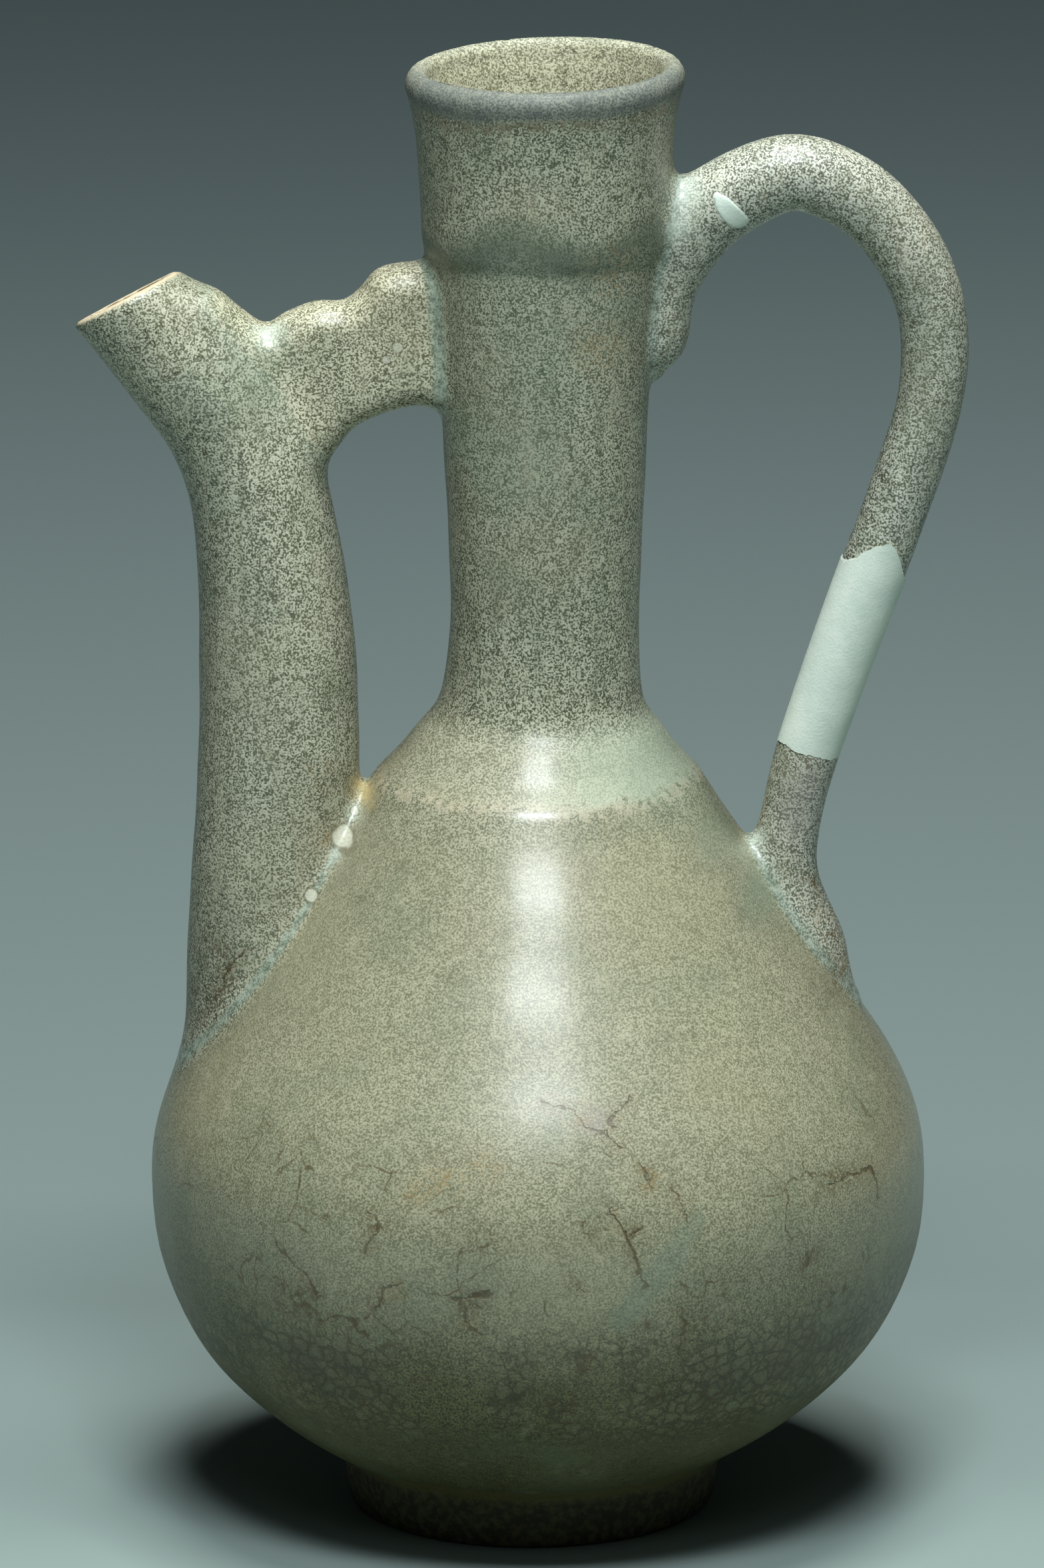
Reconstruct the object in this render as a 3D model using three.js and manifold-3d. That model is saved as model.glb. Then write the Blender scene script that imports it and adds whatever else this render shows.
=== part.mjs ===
// A glazed stoneware ewer with a spout, a lobed bridge and a loop handle restored in plaster.
// Millimetres, +Z up. The spout points to -X and the handle to +X. The origin is on the ground,
// under the middle of the whole width from the spout's tip to the handle. Until the last lines
// everything is measured from the middle of the foot ring.
import * as THREE from 'three';
import { mergeVertices } from 'three/addons/utils/BufferGeometryUtils.js';
import Module from 'manifold-3d';

const wasm = await Module();
wasm.setup();

// Wall and floor of the turned vessel.
const wall = 4;
const floorThickness = 7;

// Foot ring: it stands on a flat band and is hollowed inside.
const footHeight = 10;
const footRadius = 33;
const footTopRadius = 35;
const footBand = 6;
const footHollow = 5.5;

// Bulb, neck and mouth cup, as outer radii and the heights where they are reached.
const bellyRadius = 71;
const bellyHeight = 62;
const shoulderRadius = 29.8;
const shoulderHeight = 138;
const neckRadius = 17.3;
const neckHeight = 171;
const collarRadius = 21;
const cupRadius = 22.6;
const cupDepth = 35.2;
const cupStep = 5;
const lipRadius = 25.4;
const lipDepth = 3;
const lipWidth = 4.6;
const height = 270.2;
const collarHeight = height - cupDepth;

// How it came out of the hands and the kiln: the bulb is a little off its foot, the neck was
// luted on a little further towards the handle, and the mouth dips to the spout.
const bulbShift = 1.2;
const neckShift = 1.2;
const mouthDip = THREE.MathUtils.degToRad(1.6);

// Spout: a stout tube that rises from the bulb and bends outwards to a mouth cut at a slant.
const spoutDistance = 46.4;
const spoutRootRadius = 16;
const spoutRadius = 14.5;
const spoutThroatRadius = 12.7;
const spoutMouthRadius = 10.2;
const spoutWall = 3.4;
const spoutBendHeight = 194;
const spoutMouthHeight = 227.2;
const spoutReach = 73.8;
const spoutCut = THREE.MathUtils.degToRad(27.6);
const spoutCutBack = THREE.MathUtils.degToRad(10);

// Bridge: an upright slab with a lobed top edge, luted between the spout and the neck.
const bridgeThickness = 13;
const bridgeDepth = 26;
const bridgeTop = spoutMouthHeight + 6.2;
const bridgeUnderside = bridgeTop - bridgeDepth;

// Handle: a round coil from the side of the neck over a high arch and down to the shoulder.
const handleReach = 73;
const handleTop = collarHeight + 15.1;
const handleTopRadius = 7;
const handleRadius = 6;
const handleLowRadius = 5.5;
const handleRootRadius = 7.4;
const handleTailHeight = collarHeight - 25;
const handleRootHeight = 112;

// Restorations in the handle: a whole length, and a wedge in the inner side of the arch.
const infillTop = 176;
const infillBottom = 144.5;
const chipWidth = 6.2;
const chipLength = 6.6;
const chipDepth = 2.5;
const fillGap = 0.3;

// Fineness of the faceted surfaces.
const turnSides = 44;
const tubeSides = 16;
const curveSteps = 7;
const tubeSteps = 24;

// One stretch of the outline from point a to point b. The two control points are shares of the
// stretch, so the curve keeps its character when a radius or a height changes.
function stretch(a, b, first, second) {
  const at = (share) => new THREE.Vector2(
    THREE.MathUtils.lerp(a.x, b.x, share[0]),
    THREE.MathUtils.lerp(a.y, b.y, share[1]),
  );
  return new THREE.CubicBezierCurve(a, at(first), at(second), b);
}

const footEdge = new THREE.Vector2(footTopRadius, footHeight);
const belly = new THREE.Vector2(bellyRadius, bellyHeight);
const shoulder = new THREE.Vector2(shoulderRadius, shoulderHeight);
const neck = new THREE.Vector2(neckRadius, neckHeight);
const collar = new THREE.Vector2(collarRadius, collarHeight);
const cup = new THREE.Vector2(cupRadius, collarHeight + cupStep);
const lip = new THREE.Vector2(lipRadius, height - lipDepth);

const outline = [
  stretch(footEdge, belly, [0.13, 0.08], [1, 0.31]).getPoints(curveSteps),
  stretch(belly, shoulder, [0, 0.28], [0.22, 0.33]).getPoints(curveSteps + 1),
  stretch(shoulder, neck, [0.77, 0.33], [1, 0.26]).getPoints(curveSteps - 2),
  stretch(neck, collar, [0, 0.1], [0.5, 0.8]).getPoints(curveSteps - 3),
  stretch(collar, cup, [0.4, 0], [0.9, 0.5]).getPoints(3),
  stretch(cup, lip, [0.15, 0.6], [0.4, 0.75]).getPoints(curveSteps - 3),
].flatMap((points, index) => (index === 0 ? points : points.slice(1)));

// Outer radius at a height, read from the outline.
function outerRadius(z) {
  const above = Math.max(1, outline.findIndex((point) => point.y >= z));
  const low = outline[above - 1];
  const high = outline[above];
  return THREE.MathUtils.mapLinear(z, low.y, high.y, low.x, high.x);
}

// The outline moved inwards by the wall, square to its own slope.
function insideOutline() {
  return outline.map((point, index) => {
    const before = outline[Math.max(0, index - 1)];
    const after = outline[Math.min(outline.length - 1, index + 1)];
    const along = after.clone().sub(before).normalize();
    return new THREE.Vector2(point.x - along.y * wall, point.y + along.x * wall);
  });
}

// Half of an oval, from the outer side of the lip over its top to the inner side.
function lipRound() {
  const middle = lipRadius - lipWidth / 2;
  const round = new THREE.EllipseCurve(middle, height - lipDepth, lipWidth / 2, lipDepth, 0, Math.PI);
  return round.getPoints(6).slice(1);
}

// A closed profile (radius, height) turned about the Z axis.
function turned(profile, sides = turnSides) {
  return new THREE.LatheGeometry(profile, sides).rotateX(Math.PI / 2);
}

// A straight spindle is turned and then bent along a route in the XZ plane. Each station of the
// route is a Vector3 whose x and z are its place and whose y is the radius there.
function bent(stations, steps = tubeSteps, sides = tubeSides) {
  const route = new THREE.CatmullRomCurve3(stations, false, 'centripetal');
  const stops = Array.from({ length: steps + 1 }, (_, index) => index / steps);
  const profile = stops.map((t) => new THREE.Vector2(route.getPoint(t).y, t));
  profile.unshift(new THREE.Vector2(0, 0));
  profile.push(new THREE.Vector2(0, 1));
  const spindle = new THREE.LatheGeometry(profile, sides);
  const places = spindle.attributes.position;
  const sideways = new THREE.Vector3(0, 1, 0);
  for (let index = 0; index < places.count; index += 1) {
    const centre = route.getPoint(places.getY(index)).setY(0);
    const along = route.getTangent(places.getY(index)).setY(0).normalize();
    const across = along.clone().cross(sideways);
    centre.addScaledVector(across, places.getX(index));
    centre.addScaledVector(sideways, places.getZ(index));
    places.setXYZ(index, centre.x, centre.y, centre.z);
  }
  return spindle;
}

// The lean of the axis and the dip of the mouth, given to everything that was turned.
function fired(geometry) {
  const places = geometry.attributes.position;
  for (let index = 0; index < places.count; index += 1) {
    const x = places.getX(index);
    const z = places.getZ(index);
    const dip = Math.tan(mouthDip) * x * THREE.MathUtils.smoothstep(z, collarHeight, height);
    places.setX(index, x + leanAt(z));
    places.setZ(index, z + dip);
  }
  return geometry;
}

function leanAt(z) {
  const bulb = bulbShift * THREE.MathUtils.smoothstep(z, 0, bellyHeight);
  const neckSet = neckShift * THREE.MathUtils.smoothstep(z, shoulderHeight, neckHeight);
  return bulb + neckSet;
}

// A closed geometry as a solid that can be joined and cut.
function solid(geometry) {
  geometry.deleteAttribute('normal');
  geometry.deleteAttribute('uv');
  const welded = mergeVertices(geometry, 1e-4);
  const corners = welded.index.array;
  const faces = [];
  for (let index = 0; index < corners.length; index += 3) {
    const [a, b, c] = corners.slice(index, index + 3);
    if (a !== b && b !== c && c !== a) faces.push(a, b, c);
  }
  return new wasm.Manifold(new wasm.Mesh({
    numProp: 3,
    vertProperties: new Float32Array(welded.attributes.position.array),
    triVerts: new Uint32Array(faces),
  }));
}

// A solid as a named mesh with its own material.
function piece(name, shape, material) {
  const made = shape.getMesh();
  const geometry = new THREE.BufferGeometry();
  geometry.setAttribute('position', new THREE.BufferAttribute(made.vertProperties, 3));
  geometry.setIndex(new THREE.BufferAttribute(made.triVerts, 1));
  geometry.computeVertexNormals();
  const mesh = new THREE.Mesh(geometry, material);
  mesh.name = name;
  return mesh;
}

// The vessel as a full solid, foot ring and lip included.
function vesselBody() {
  const bandInner = footRadius - footBand;
  const profile = [
    new THREE.Vector2(0, footHollow),
    new THREE.Vector2(bandInner - 1, footHollow),
    new THREE.Vector2(bandInner, 0),
    new THREE.Vector2(footRadius, 0),
    new THREE.Vector2(footRadius + 0.8, 0.8),
    ...outline,
    ...lipRound(),
    new THREE.Vector2(0, height - lipDepth),
  ];
  return solid(fired(turned(profile)));
}

// The hollow, from the floor up through the neck and out at the mouth.
function vesselHollow() {
  const floor = footHollow + floorThickness;
  const inside = insideOutline().filter((point) => point.y > floor + 1);
  const start = inside[0].x - 3;
  const mouth = lipRadius - lipWidth;
  const throat = inside.filter((point) => point.y < height - lipDepth - 4);
  const profile = [
    new THREE.Vector2(0, floor),
    new THREE.Vector2(start, floor),
    ...throat,
    new THREE.Vector2(mouth, height - lipDepth),
    new THREE.Vector2(mouth, height + lipDepth),
    new THREE.Vector2(0, height + lipDepth),
  ];
  return solid(fired(turned(profile)));
}

// Stations of the spout. The same route, less the wall, is its bore.
function spoutStations(thinner) {
  const at = (x, z, radius) => new THREE.Vector3(-x, radius - thinner, z);
  const rise = spoutBendHeight - bellyHeight;
  const lift = spoutMouthHeight - spoutBendHeight;
  const out = spoutReach - spoutDistance;
  return [
    at(spoutDistance + 1, bellyHeight + rise * 0.16, spoutRootRadius + 0.4),
    at(spoutDistance + 0.8, bellyHeight + rise * 0.3, spoutRootRadius - 0.3),
    at(spoutDistance + 0.4, bellyHeight + rise * 0.45, (spoutRootRadius + spoutRadius) / 2 - 0.2),
    at(spoutDistance - 0.1, bellyHeight + rise * 0.62, spoutRadius),
    at(spoutDistance + 0.2, bellyHeight + rise * 0.78, spoutRadius - 0.4),
    at(spoutDistance + out * 0.06, bellyHeight + rise * 0.9, spoutThroatRadius + 0.4),
    at(spoutDistance + out * 0.135, spoutBendHeight, spoutThroatRadius - 0.1),
    at(spoutDistance + out * 0.3, spoutBendHeight + lift * 0.3, spoutThroatRadius - 0.7),
    at(spoutDistance + out * 0.58, spoutBendHeight + lift * 0.6, spoutMouthRadius + 1.2),
    at(spoutReach, spoutMouthHeight, spoutMouthRadius + 0.2),
    at(spoutReach + out * 0.3, spoutMouthHeight + lift * 0.25, spoutMouthRadius + 0.2),
  ];
}

// A block whose underside is the slanted plane of the spout's mouth, a little lower at the back.
function aboveMouth() {
  const size = spoutReach;
  return new THREE.BoxGeometry(size, size, size)
    .translate(0, 0, size / 2)
    .rotateX(-spoutCutBack)
    .rotateY(-spoutCut)
    .translate(-spoutReach, 0, spoutMouthHeight);
}

// Shares of the bridge: across its span from the spout's axis (0) to the neck (1), then the
// heights of its lower and upper edge, from the underside (0) to the top (1). The ends beyond
// 0 and 1 are sunk in the clay of the spout and the neck.
const bridgeEdges = [
  [-0.36, 0.4, 0.85], [-0.16, 0.1, 0.67], [0, -0.2, 0.575], [0.13, -0.42, 0.64],
  [0.31, -0.38, 0.715], [0.48, -0.22, 0.73], [0.58, -0.14, 0.8], [0.67, -0.09, 0.93],
  [0.79, -0.03, 0.985], [0.93, 0, 1], [1.1, 0, 1],
];

// A spindle with square-shouldered sections, each as high as the two edges are apart there.
function bridge() {
  const start = -(spoutDistance + 2.5);
  const end = -(outerRadius(bridgeTop) - 2);
  const edges = new THREE.CatmullRomCurve3(bridgeEdges.map((share) => new THREE.Vector3(...share)));
  const profile = edges.getPoints(tubeSteps).map((_, index) => new THREE.Vector2(1, index / tubeSteps));
  profile.unshift(new THREE.Vector2(0, 0));
  profile.push(new THREE.Vector2(0, 1));
  const slab = new THREE.LatheGeometry(profile, tubeSides);
  const places = slab.attributes.position;
  const squared = (value) => Math.sign(value) * Math.abs(value) ** 0.6;
  for (let index = 0; index < places.count; index += 1) {
    const share = edges.getPoint(places.getY(index));
    const half = ((share.z - share.y) * bridgeDepth) / 2;
    const middle = bridgeUnderside + ((share.z + share.y) * bridgeDepth) / 2;
    places.setXYZ(
      index,
      THREE.MathUtils.lerp(start, end, share.x),
      (squared(places.getZ(index)) * bridgeThickness) / 2,
      middle + squared(places.getX(index)) * half,
    );
  }
  return slab;
}

const handleBase = handleTop - handleTopRadius;

// Stations of the coil from its tail on the neck to its root on the bulb.
function handleStations() {
  const at = (x, z, radius) => new THREE.Vector3(x, radius, z);
  const wallSide = outerRadius(handleTailHeight) + leanAt(handleTailHeight);
  const out = handleReach - wallSide;
  const rise = handleTop - handleTailHeight;
  const drop = handleTop - handleRootHeight;
  const bulbSide = outerRadius(handleRootHeight);
  const swing = handleReach - bulbSide;
  return [
    at(wallSide - 2, handleTailHeight, handleRadius * 0.5),
    at(wallSide - 0.2, handleTailHeight + rise * 0.2, handleRadius * 0.82),
    at(wallSide + out * 0.05, handleTailHeight + rise * 0.42, handleRadius),
    at(wallSide + out * 0.11, handleTailHeight + rise * 0.67, handleTopRadius + 0.2),
    at(wallSide + out * 0.25, handleTailHeight + rise * 0.9, handleTopRadius + 0.3),
    at(wallSide + out * 0.5, handleTop + 0.2, handleTopRadius - 0.2),
    at(wallSide + out * 0.73, handleTop - drop * 0.026, handleTopRadius - 0.4),
    at(wallSide + out * 0.88, handleTop - drop * 0.08, handleTopRadius - 0.6),
    at(wallSide + out * 0.975, handleTop - drop * 0.15, handleTopRadius - 0.7),
    at(handleReach, handleTop - drop * 0.225, handleRadius + 0.2),
    at(handleReach - 0.8, handleTop - drop * 0.31, handleRadius),
    at(bulbSide + swing * 0.83, handleTop - drop * 0.4, handleRadius),
    at(bulbSide + swing * 0.655, handleTop - drop * 0.5, handleRadius - 0.1),
    at(bulbSide + swing * 0.385, handleTop - drop * 0.64, handleRadius - 0.2),
    at(bulbSide + swing * 0.135, handleTop - drop * 0.78, handleLowRadius),
    at(bulbSide + 0.3, handleTop - drop * 0.87, handleLowRadius),
    at(bulbSide - 1.6, handleRootHeight + 9, handleLowRadius + 0.6),
    at(bulbSide - 0.4, handleRootHeight, handleRootRadius),
    at(bulbSide + 2.8, handleRootHeight - 8, handleRootRadius),
    at(bulbSide + 6, handleRootHeight - 18, handleLowRadius - 1),
  ];
}

// The missing length, square to the coil. Grown or shrunk along the coil by the gap.
function missingLength(gap) {
  const stations = handleStations();
  const route = new THREE.CatmullRomCurve3(stations, false, 'centripetal');
  const samples = route.getPoints(400).filter((point) => point.z < handleBase - 20);
  const near = (z) => samples.reduce((best, point) => (
    Math.abs(point.z - z) < Math.abs(best.z - z) ? point : best
  ));
  const top = near(infillTop);
  const bottom = near(infillBottom);
  const along = top.clone().sub(bottom).setY(0);
  const length = along.length() + 2 * gap;
  const middle = top.clone().add(bottom).multiplyScalar(0.5);
  const across = 6 * handleRadius;
  return new THREE.BoxGeometry(across, across, length)
    .rotateY(Math.atan2(along.x, along.z))
    .translate(middle.x, 0, middle.z);
}

// The wedge let into the front of the arch above the tail. Its outline narrows upwards.
function wedge(gap) {
  const half = chipWidth / 2 + gap;
  const long = chipLength / 2 + gap;
  const outlineOfWedge = new THREE.Shape([
    new THREE.Vector2(-half * 0.35, long),
    new THREE.Vector2(half * 0.45, long),
    new THREE.Vector2(half, -long * 0.5),
    new THREE.Vector2(half * 0.5, -long * 2),
    new THREE.Vector2(-half, -long * 2),
  ]);
  const depth = 3 * handleTopRadius;
  const start = chipDepth - gap;
  const stations = handleStations();
  const seat = stations[4];
  return new THREE.ExtrudeGeometry(outlineOfWedge, { depth, bevelEnabled: false })
    .rotateX(Math.PI / 2)
    .translate(0, -start, 0)
    .rotateY(THREE.MathUtils.degToRad(-40))
    .translate(seat.x + 0.5, 0, seat.z);
}

const vessel = vesselBody();
const hollow = vesselHollow();
const beyondMouth = solid(aboveMouth());
const spout = solid(bent(spoutStations(0))).subtract(beyondMouth);
const bore = solid(bent(spoutStations(spoutWall), tubeSteps, 12));
const coil = solid(bent(handleStations(), 34, 14)).subtract(hollow);

const glaze = new THREE.MeshStandardMaterial({ color: 0x96977e, roughness: 0.4, metalness: 0 });
const plaster = new THREE.MeshStandardMaterial({ color: 0xc6d2c4, roughness: 0.8, metalness: 0 });
const chipPlaster = plaster.clone();

const ewer = vessel
  .add(spout)
  .add(solid(bridge()))
  .add(coil)
  .subtract(hollow)
  .subtract(bore)
  .subtract(solid(missingLength(0)))
  .subtract(solid(wedge(0)));
const infill = coil.intersect(solid(missingLength(-fillGap)));
const chip = coil.subtract(vessel).intersect(solid(wedge(-fillGap)));

const model = new THREE.Group();
model.add(piece('ewer', ewer, glaze));
model.add(piece('handle_plaster_infill', infill, plaster));
model.add(piece('handle_plaster_chip', chip, chipPlaster));
model.position.x = -new THREE.Box3().setFromObject(model).getCenter(new THREE.Vector3()).x;

export default model;
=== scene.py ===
# %% [markdown]
# # A glazed stoneware ewer
# The ewer was thrown, pulled and luted together by hand, dipped in a thick green glaze and fired
# once. Later its handle was mended with white plaster. This lesson builds its looks: the smooth
# body with every join softened by glaze, the speckled glaze itself, and the two plaster fills.
# The first cell loads the measured solids. They fix every size, so nothing is scaled later.

# %% Load the measured solids
import math
import bpy
import numpy as np
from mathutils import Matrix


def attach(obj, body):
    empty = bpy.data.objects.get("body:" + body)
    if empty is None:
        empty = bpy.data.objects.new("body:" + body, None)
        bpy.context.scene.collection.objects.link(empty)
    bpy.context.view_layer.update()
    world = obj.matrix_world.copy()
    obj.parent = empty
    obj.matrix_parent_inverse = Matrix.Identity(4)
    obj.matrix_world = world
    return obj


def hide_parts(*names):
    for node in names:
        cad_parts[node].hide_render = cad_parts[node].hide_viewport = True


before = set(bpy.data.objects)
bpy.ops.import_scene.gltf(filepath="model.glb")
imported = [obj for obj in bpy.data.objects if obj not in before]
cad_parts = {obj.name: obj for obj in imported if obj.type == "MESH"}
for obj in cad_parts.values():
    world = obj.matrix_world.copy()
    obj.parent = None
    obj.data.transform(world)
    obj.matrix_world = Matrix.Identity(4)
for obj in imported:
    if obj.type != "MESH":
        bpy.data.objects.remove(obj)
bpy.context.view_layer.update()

MM = 0.001

# %% [markdown]
# ## Where the foot is
# All sizes below are in millimetres from the middle of the foot ring, because that is how a
# potter measures a pot. The frame has its origin under the middle of the whole width, so the
# step between the two is read from the lowest vertices of the solid.

# %% Find the middle of the foot ring
ewer_solid = bpy.data.objects["ewer"]
corners = np.empty(len(ewer_solid.data.vertices) * 3)
ewer_solid.data.vertices.foreach_get("co", corners)
corners = corners.reshape(-1, 3) / MM
standing = corners[corners[:, 2] < 0.1]
FOOT_X = 0.5 * (standing[:, 0].min() + standing[:, 0].max())
print("foot ring is", round(FOOT_X, 2), "mm from the origin")

# %% [markdown]
# ## The camera
# The picture was taken with a long lens from about 2.9 m, 15 degrees above the ewer. The ovals
# of the mouth and of the foot give those two numbers: the mouth is seen 12.5 degrees from above
# and the foot 17.7 degrees.

# %% Set the camera
CAMERA_SIDE = -1.8
CAMERA_BACK = -2798.0
CAMERA_UP = 893.0
AIM_UP = 136.0
PIXELS_HIGH = 2354.0
FOCAL_PIXELS = 23829.0
SENSOR = 36.0
FAR_CLIP = 20000.0

camera_data = bpy.data.cameras.new("camera")
camera_data.sensor_width = SENSOR
camera_data.lens = FOCAL_PIXELS / PIXELS_HIGH * SENSOR
camera = bpy.data.objects.new("camera", camera_data)
bpy.context.scene.collection.objects.link(camera)
camera.location = ((CAMERA_SIDE + FOOT_X) * MM, CAMERA_BACK * MM, CAMERA_UP * MM)
camera_tilt = math.atan2(CAMERA_UP - AIM_UP, -CAMERA_BACK)
camera.rotation_euler = (math.pi / 2 - camera_tilt, 0.0, 0.0)
camera_data.clip_end = FAR_CLIP * MM
bpy.context.scene.camera = camera
print("lens", round(camera_data.lens, 1), "mm, tilt", round(math.degrees(camera_tilt), 1))

# %% [markdown]
# ## The outline of the pot
# A thrown pot is a profile turned round an axis. The profile is a few curves, each from one
# named place to the next: foot, belly, shoulder, waist of the neck, collar, cup, lip. Each
# curve's two control points are shares of its own span.

# %% Sizes of the turned vessel
HEIGHT = 270.6
FOOT_HEIGHT, FOOT_RADIUS, FOOT_TOP_RADIUS, FOOT_BAND, FOOT_HOLLOW = 10.0, 33.0, 35.0, 6.0, 5.5
BELLY_RADIUS, BELLY_HEIGHT = 71.0, 62.0
SHOULDER_RADIUS, SHOULDER_HEIGHT = 29.8, 138.0
NECK_RADIUS, NECK_HEIGHT = 17.3, 171.0
COLLAR_RADIUS, COLLAR_HEIGHT = 21.0, 235.0
CUP_RADIUS, CUP_STEP = 22.6, 5.0
LIP_RADIUS, LIP_DEPTH, LIP_WIDTH = 25.5, 3.4, 4.8
WALL, FLOOR = 4.0, 7.0
BULB_SHIFT, NECK_SHIFT = 1.2, 1.2
MOUTH_DIP = math.tan(math.radians(1.6))
print("height", HEIGHT, "mm, belly", 2 * BELLY_RADIUS, "mm across")

# %% [markdown]
# ## Curves from place to place
# A spline through many points would wobble. A curve with two control points stays as calm as
# the edge of a potter's rib, so one such curve runs from each named place to the next. Every
# stretch starts where the last one ends, so its first point is left out.

# %% Draw the outline
FOOT_TOP = (FOOT_TOP_RADIUS, FOOT_HEIGHT)
BELLY = (BELLY_RADIUS, BELLY_HEIGHT)
SHOULDER = (SHOULDER_RADIUS, SHOULDER_HEIGHT)
NECK = (NECK_RADIUS, NECK_HEIGHT)
COLLAR = (COLLAR_RADIUS, COLLAR_HEIGHT)
CUP = (CUP_RADIUS, COLLAR_HEIGHT + CUP_STEP)
UNDER_LIP = (LIP_RADIUS - 0.5, HEIGHT - LIP_DEPTH - 1.6)


def bezier(start, first, second, end, count):
    t = np.linspace(0.0, 1.0, count)[:, None]
    start, first, second, end = (np.array(p, float) for p in (start, first, second, end))
    return ((1 - t) ** 3 * start + 3 * (1 - t) ** 2 * t * first
            + 3 * (1 - t) * t ** 2 * second + t ** 3 * end)


def stretch(start, end, first, second, count=24):
    """One curve of the outline; the control points are shares of its span."""
    start, end = np.array(start, float), np.array(end, float)
    span = end - start
    return bezier(start, start + span * first, start + span * second, end, count)


outline = np.vstack([
    stretch(FOOT_TOP, BELLY, (0.13, 0.08), (1.0, 0.31)),
    stretch(BELLY, SHOULDER, (0.0, 0.28), (0.22, 0.33))[1:],
    stretch(SHOULDER, NECK, (0.77, 0.33), (1.0, 0.26))[1:],
    stretch(NECK, COLLAR, (0.0, 0.1), (0.5, 0.8))[1:],
    stretch(COLLAR, CUP, (0.5, 0.0), (0.95, 0.5), 8)[1:],
    stretch(CUP, UNDER_LIP, (0.15, 0.6), (0.4, 0.75))[1:],
])
slope = np.gradient(outline, axis=0)
slope /= np.linalg.norm(slope, axis=1)[:, None]
inner_line = outline + WALL * np.stack([-slope[:, 1], slope[:, 0]], axis=1)
print("outline has", len(outline), "points")

# %% [markdown]
# ## A shape as a distance
# Where a spout meets a bulb, the potter smooths wet clay into the corner and the glaze fills
# what is left. Cutting and joining meshes leaves a hard edge there. So the body is described
# another way: a function gives, for any point, its distance to the surface, below zero inside
# the clay. Two such distances are blended where they are nearly equal, which makes the fillet.
# A closed outline or a path lies in one plane, so its distance is worked out once on a fine
# grid and read from there.

# %% Distances in the plane
GRID = 0.5
FAR = 1e9
TINY = 1e-12


def segment_distance(points, a, b):
    """Distance from each point to the segment a-b and where along it the nearest place is."""
    along = b - a
    share = np.clip(((points - a) @ along) / max(along @ along, TINY), 0.0, 1.0)
    return np.linalg.norm(points - a - share[:, None] * along, axis=1), share


class PlaneGrid:
    """Values known on a grid of a plane and read between its nodes."""

    def __init__(self, low, high):
        self.low = np.array(low, float)
        self.count = np.ceil((np.array(high) - self.low) / GRID).astype(int) + 1
        axes = [self.low[k] + GRID * np.arange(self.count[k]) for k in (0, 1)]
        self.points = np.stack(np.meshgrid(*axes, indexing="ij"), axis=-1).reshape(-1, 2)
        self.values = {}

    def keep(self, name, values):
        self.values[name] = values.reshape(self.count).astype(np.float32)

    def read(self, name, u, v):
        table = self.values[name]
        a = np.clip((u - self.low[0]) / GRID, 0, self.count[0] - 1.001)
        b = np.clip((v - self.low[1]) / GRID, 0, self.count[1] - 1.001)
        i, j = a.astype(np.int32), b.astype(np.int32)
        a, b = a - i, b - j
        return ((1 - a) * (1 - b) * table[i, j] + a * (1 - b) * table[i + 1, j]
                + (1 - a) * b * table[i, j + 1] + a * b * table[i + 1, j + 1])


def closed_distance(points, loop):
    """Signed distance to a closed outline, below zero inside."""
    best = np.full(len(points), FAR)
    inside = np.zeros(len(points), bool)
    for a, b in zip(loop, np.roll(loop, -1, axis=0)):
        best = np.minimum(best, segment_distance(points, a, b)[0])
        crosses = (a[1] > points[:, 1]) != (b[1] > points[:, 1])
        if crosses.any():
            at = a[0] + (points[:, 1] - a[1]) / ((b[1] - a[1]) or TINY) * (b[0] - a[0])
            inside ^= crosses & (points[:, 0] < at)
    return np.where(inside, -best, best)


print("distances in a plane are kept every", GRID, "mm")

# %% [markdown]
# ## Outside and inside
# The outside line closes round the foot ring and over the lip. The inside line is the outside one
# moved in by the wall. It passes the collar straight, because the collar is only a step on the
# outside. Both lines run on past the axis, where the grid doesn't reach.

# %% Close the two lines
PAST_AXIS, ABOVE_LIP = -8.0, 9.0
COLLAR_SKIP = 15.0
lip_low = HEIGHT - LIP_DEPTH
lip_inside = LIP_RADIUS - LIP_WIDTH
lip_middle = LIP_RADIUS - LIP_WIDTH / 2
lip_turn = np.linspace(0.0, math.pi, 14)[1:]
lip_line = np.stack([lip_middle + LIP_WIDTH / 2 * np.cos(lip_turn),
                     lip_low + LIP_DEPTH * np.sin(lip_turn)], axis=1)
band_inside = FOOT_RADIUS - FOOT_BAND
outer_loop = np.vstack([
    [(PAST_AXIS, FOOT_HOLLOW), (band_inside - 1.5, FOOT_HOLLOW), (band_inside - 0.3, 0.8),
     (band_inside + 0.5, 0.0), (FOOT_RADIUS - 0.6, 0.0), (FOOT_RADIUS + 0.3, 0.7)],
    outline, [(LIP_RADIUS, lip_low)], lip_line, [(PAST_AXIS, lip_low)],
])
floor_top = FOOT_HOLLOW + FLOOR
inner_height = inner_line[:, 1]
above_floor = inner_line[(inner_height > floor_top + 2) & (inner_height < HEIGHT - 8)
                         & (np.abs(inner_height - COLLAR_HEIGHT - 2.0) > COLLAR_SKIP)]
inner_loop = np.vstack([
    [(PAST_AXIS, floor_top), (above_floor[0, 0] - 4, floor_top)], above_floor,
    [(lip_inside + 0.1, lip_low - 1), (lip_inside + 0.4, HEIGHT + ABOVE_LIP),
     (PAST_AXIS, HEIGHT + ABOVE_LIP)],
])
turned = PlaneGrid((0.0, -6.0), (84.0, HEIGHT + 12.0))
turned.keep("outer", closed_distance(turned.points, outer_loop))
turned.keep("inner", closed_distance(turned.points, inner_loop))
print("turned grid", turned.count)

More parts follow.
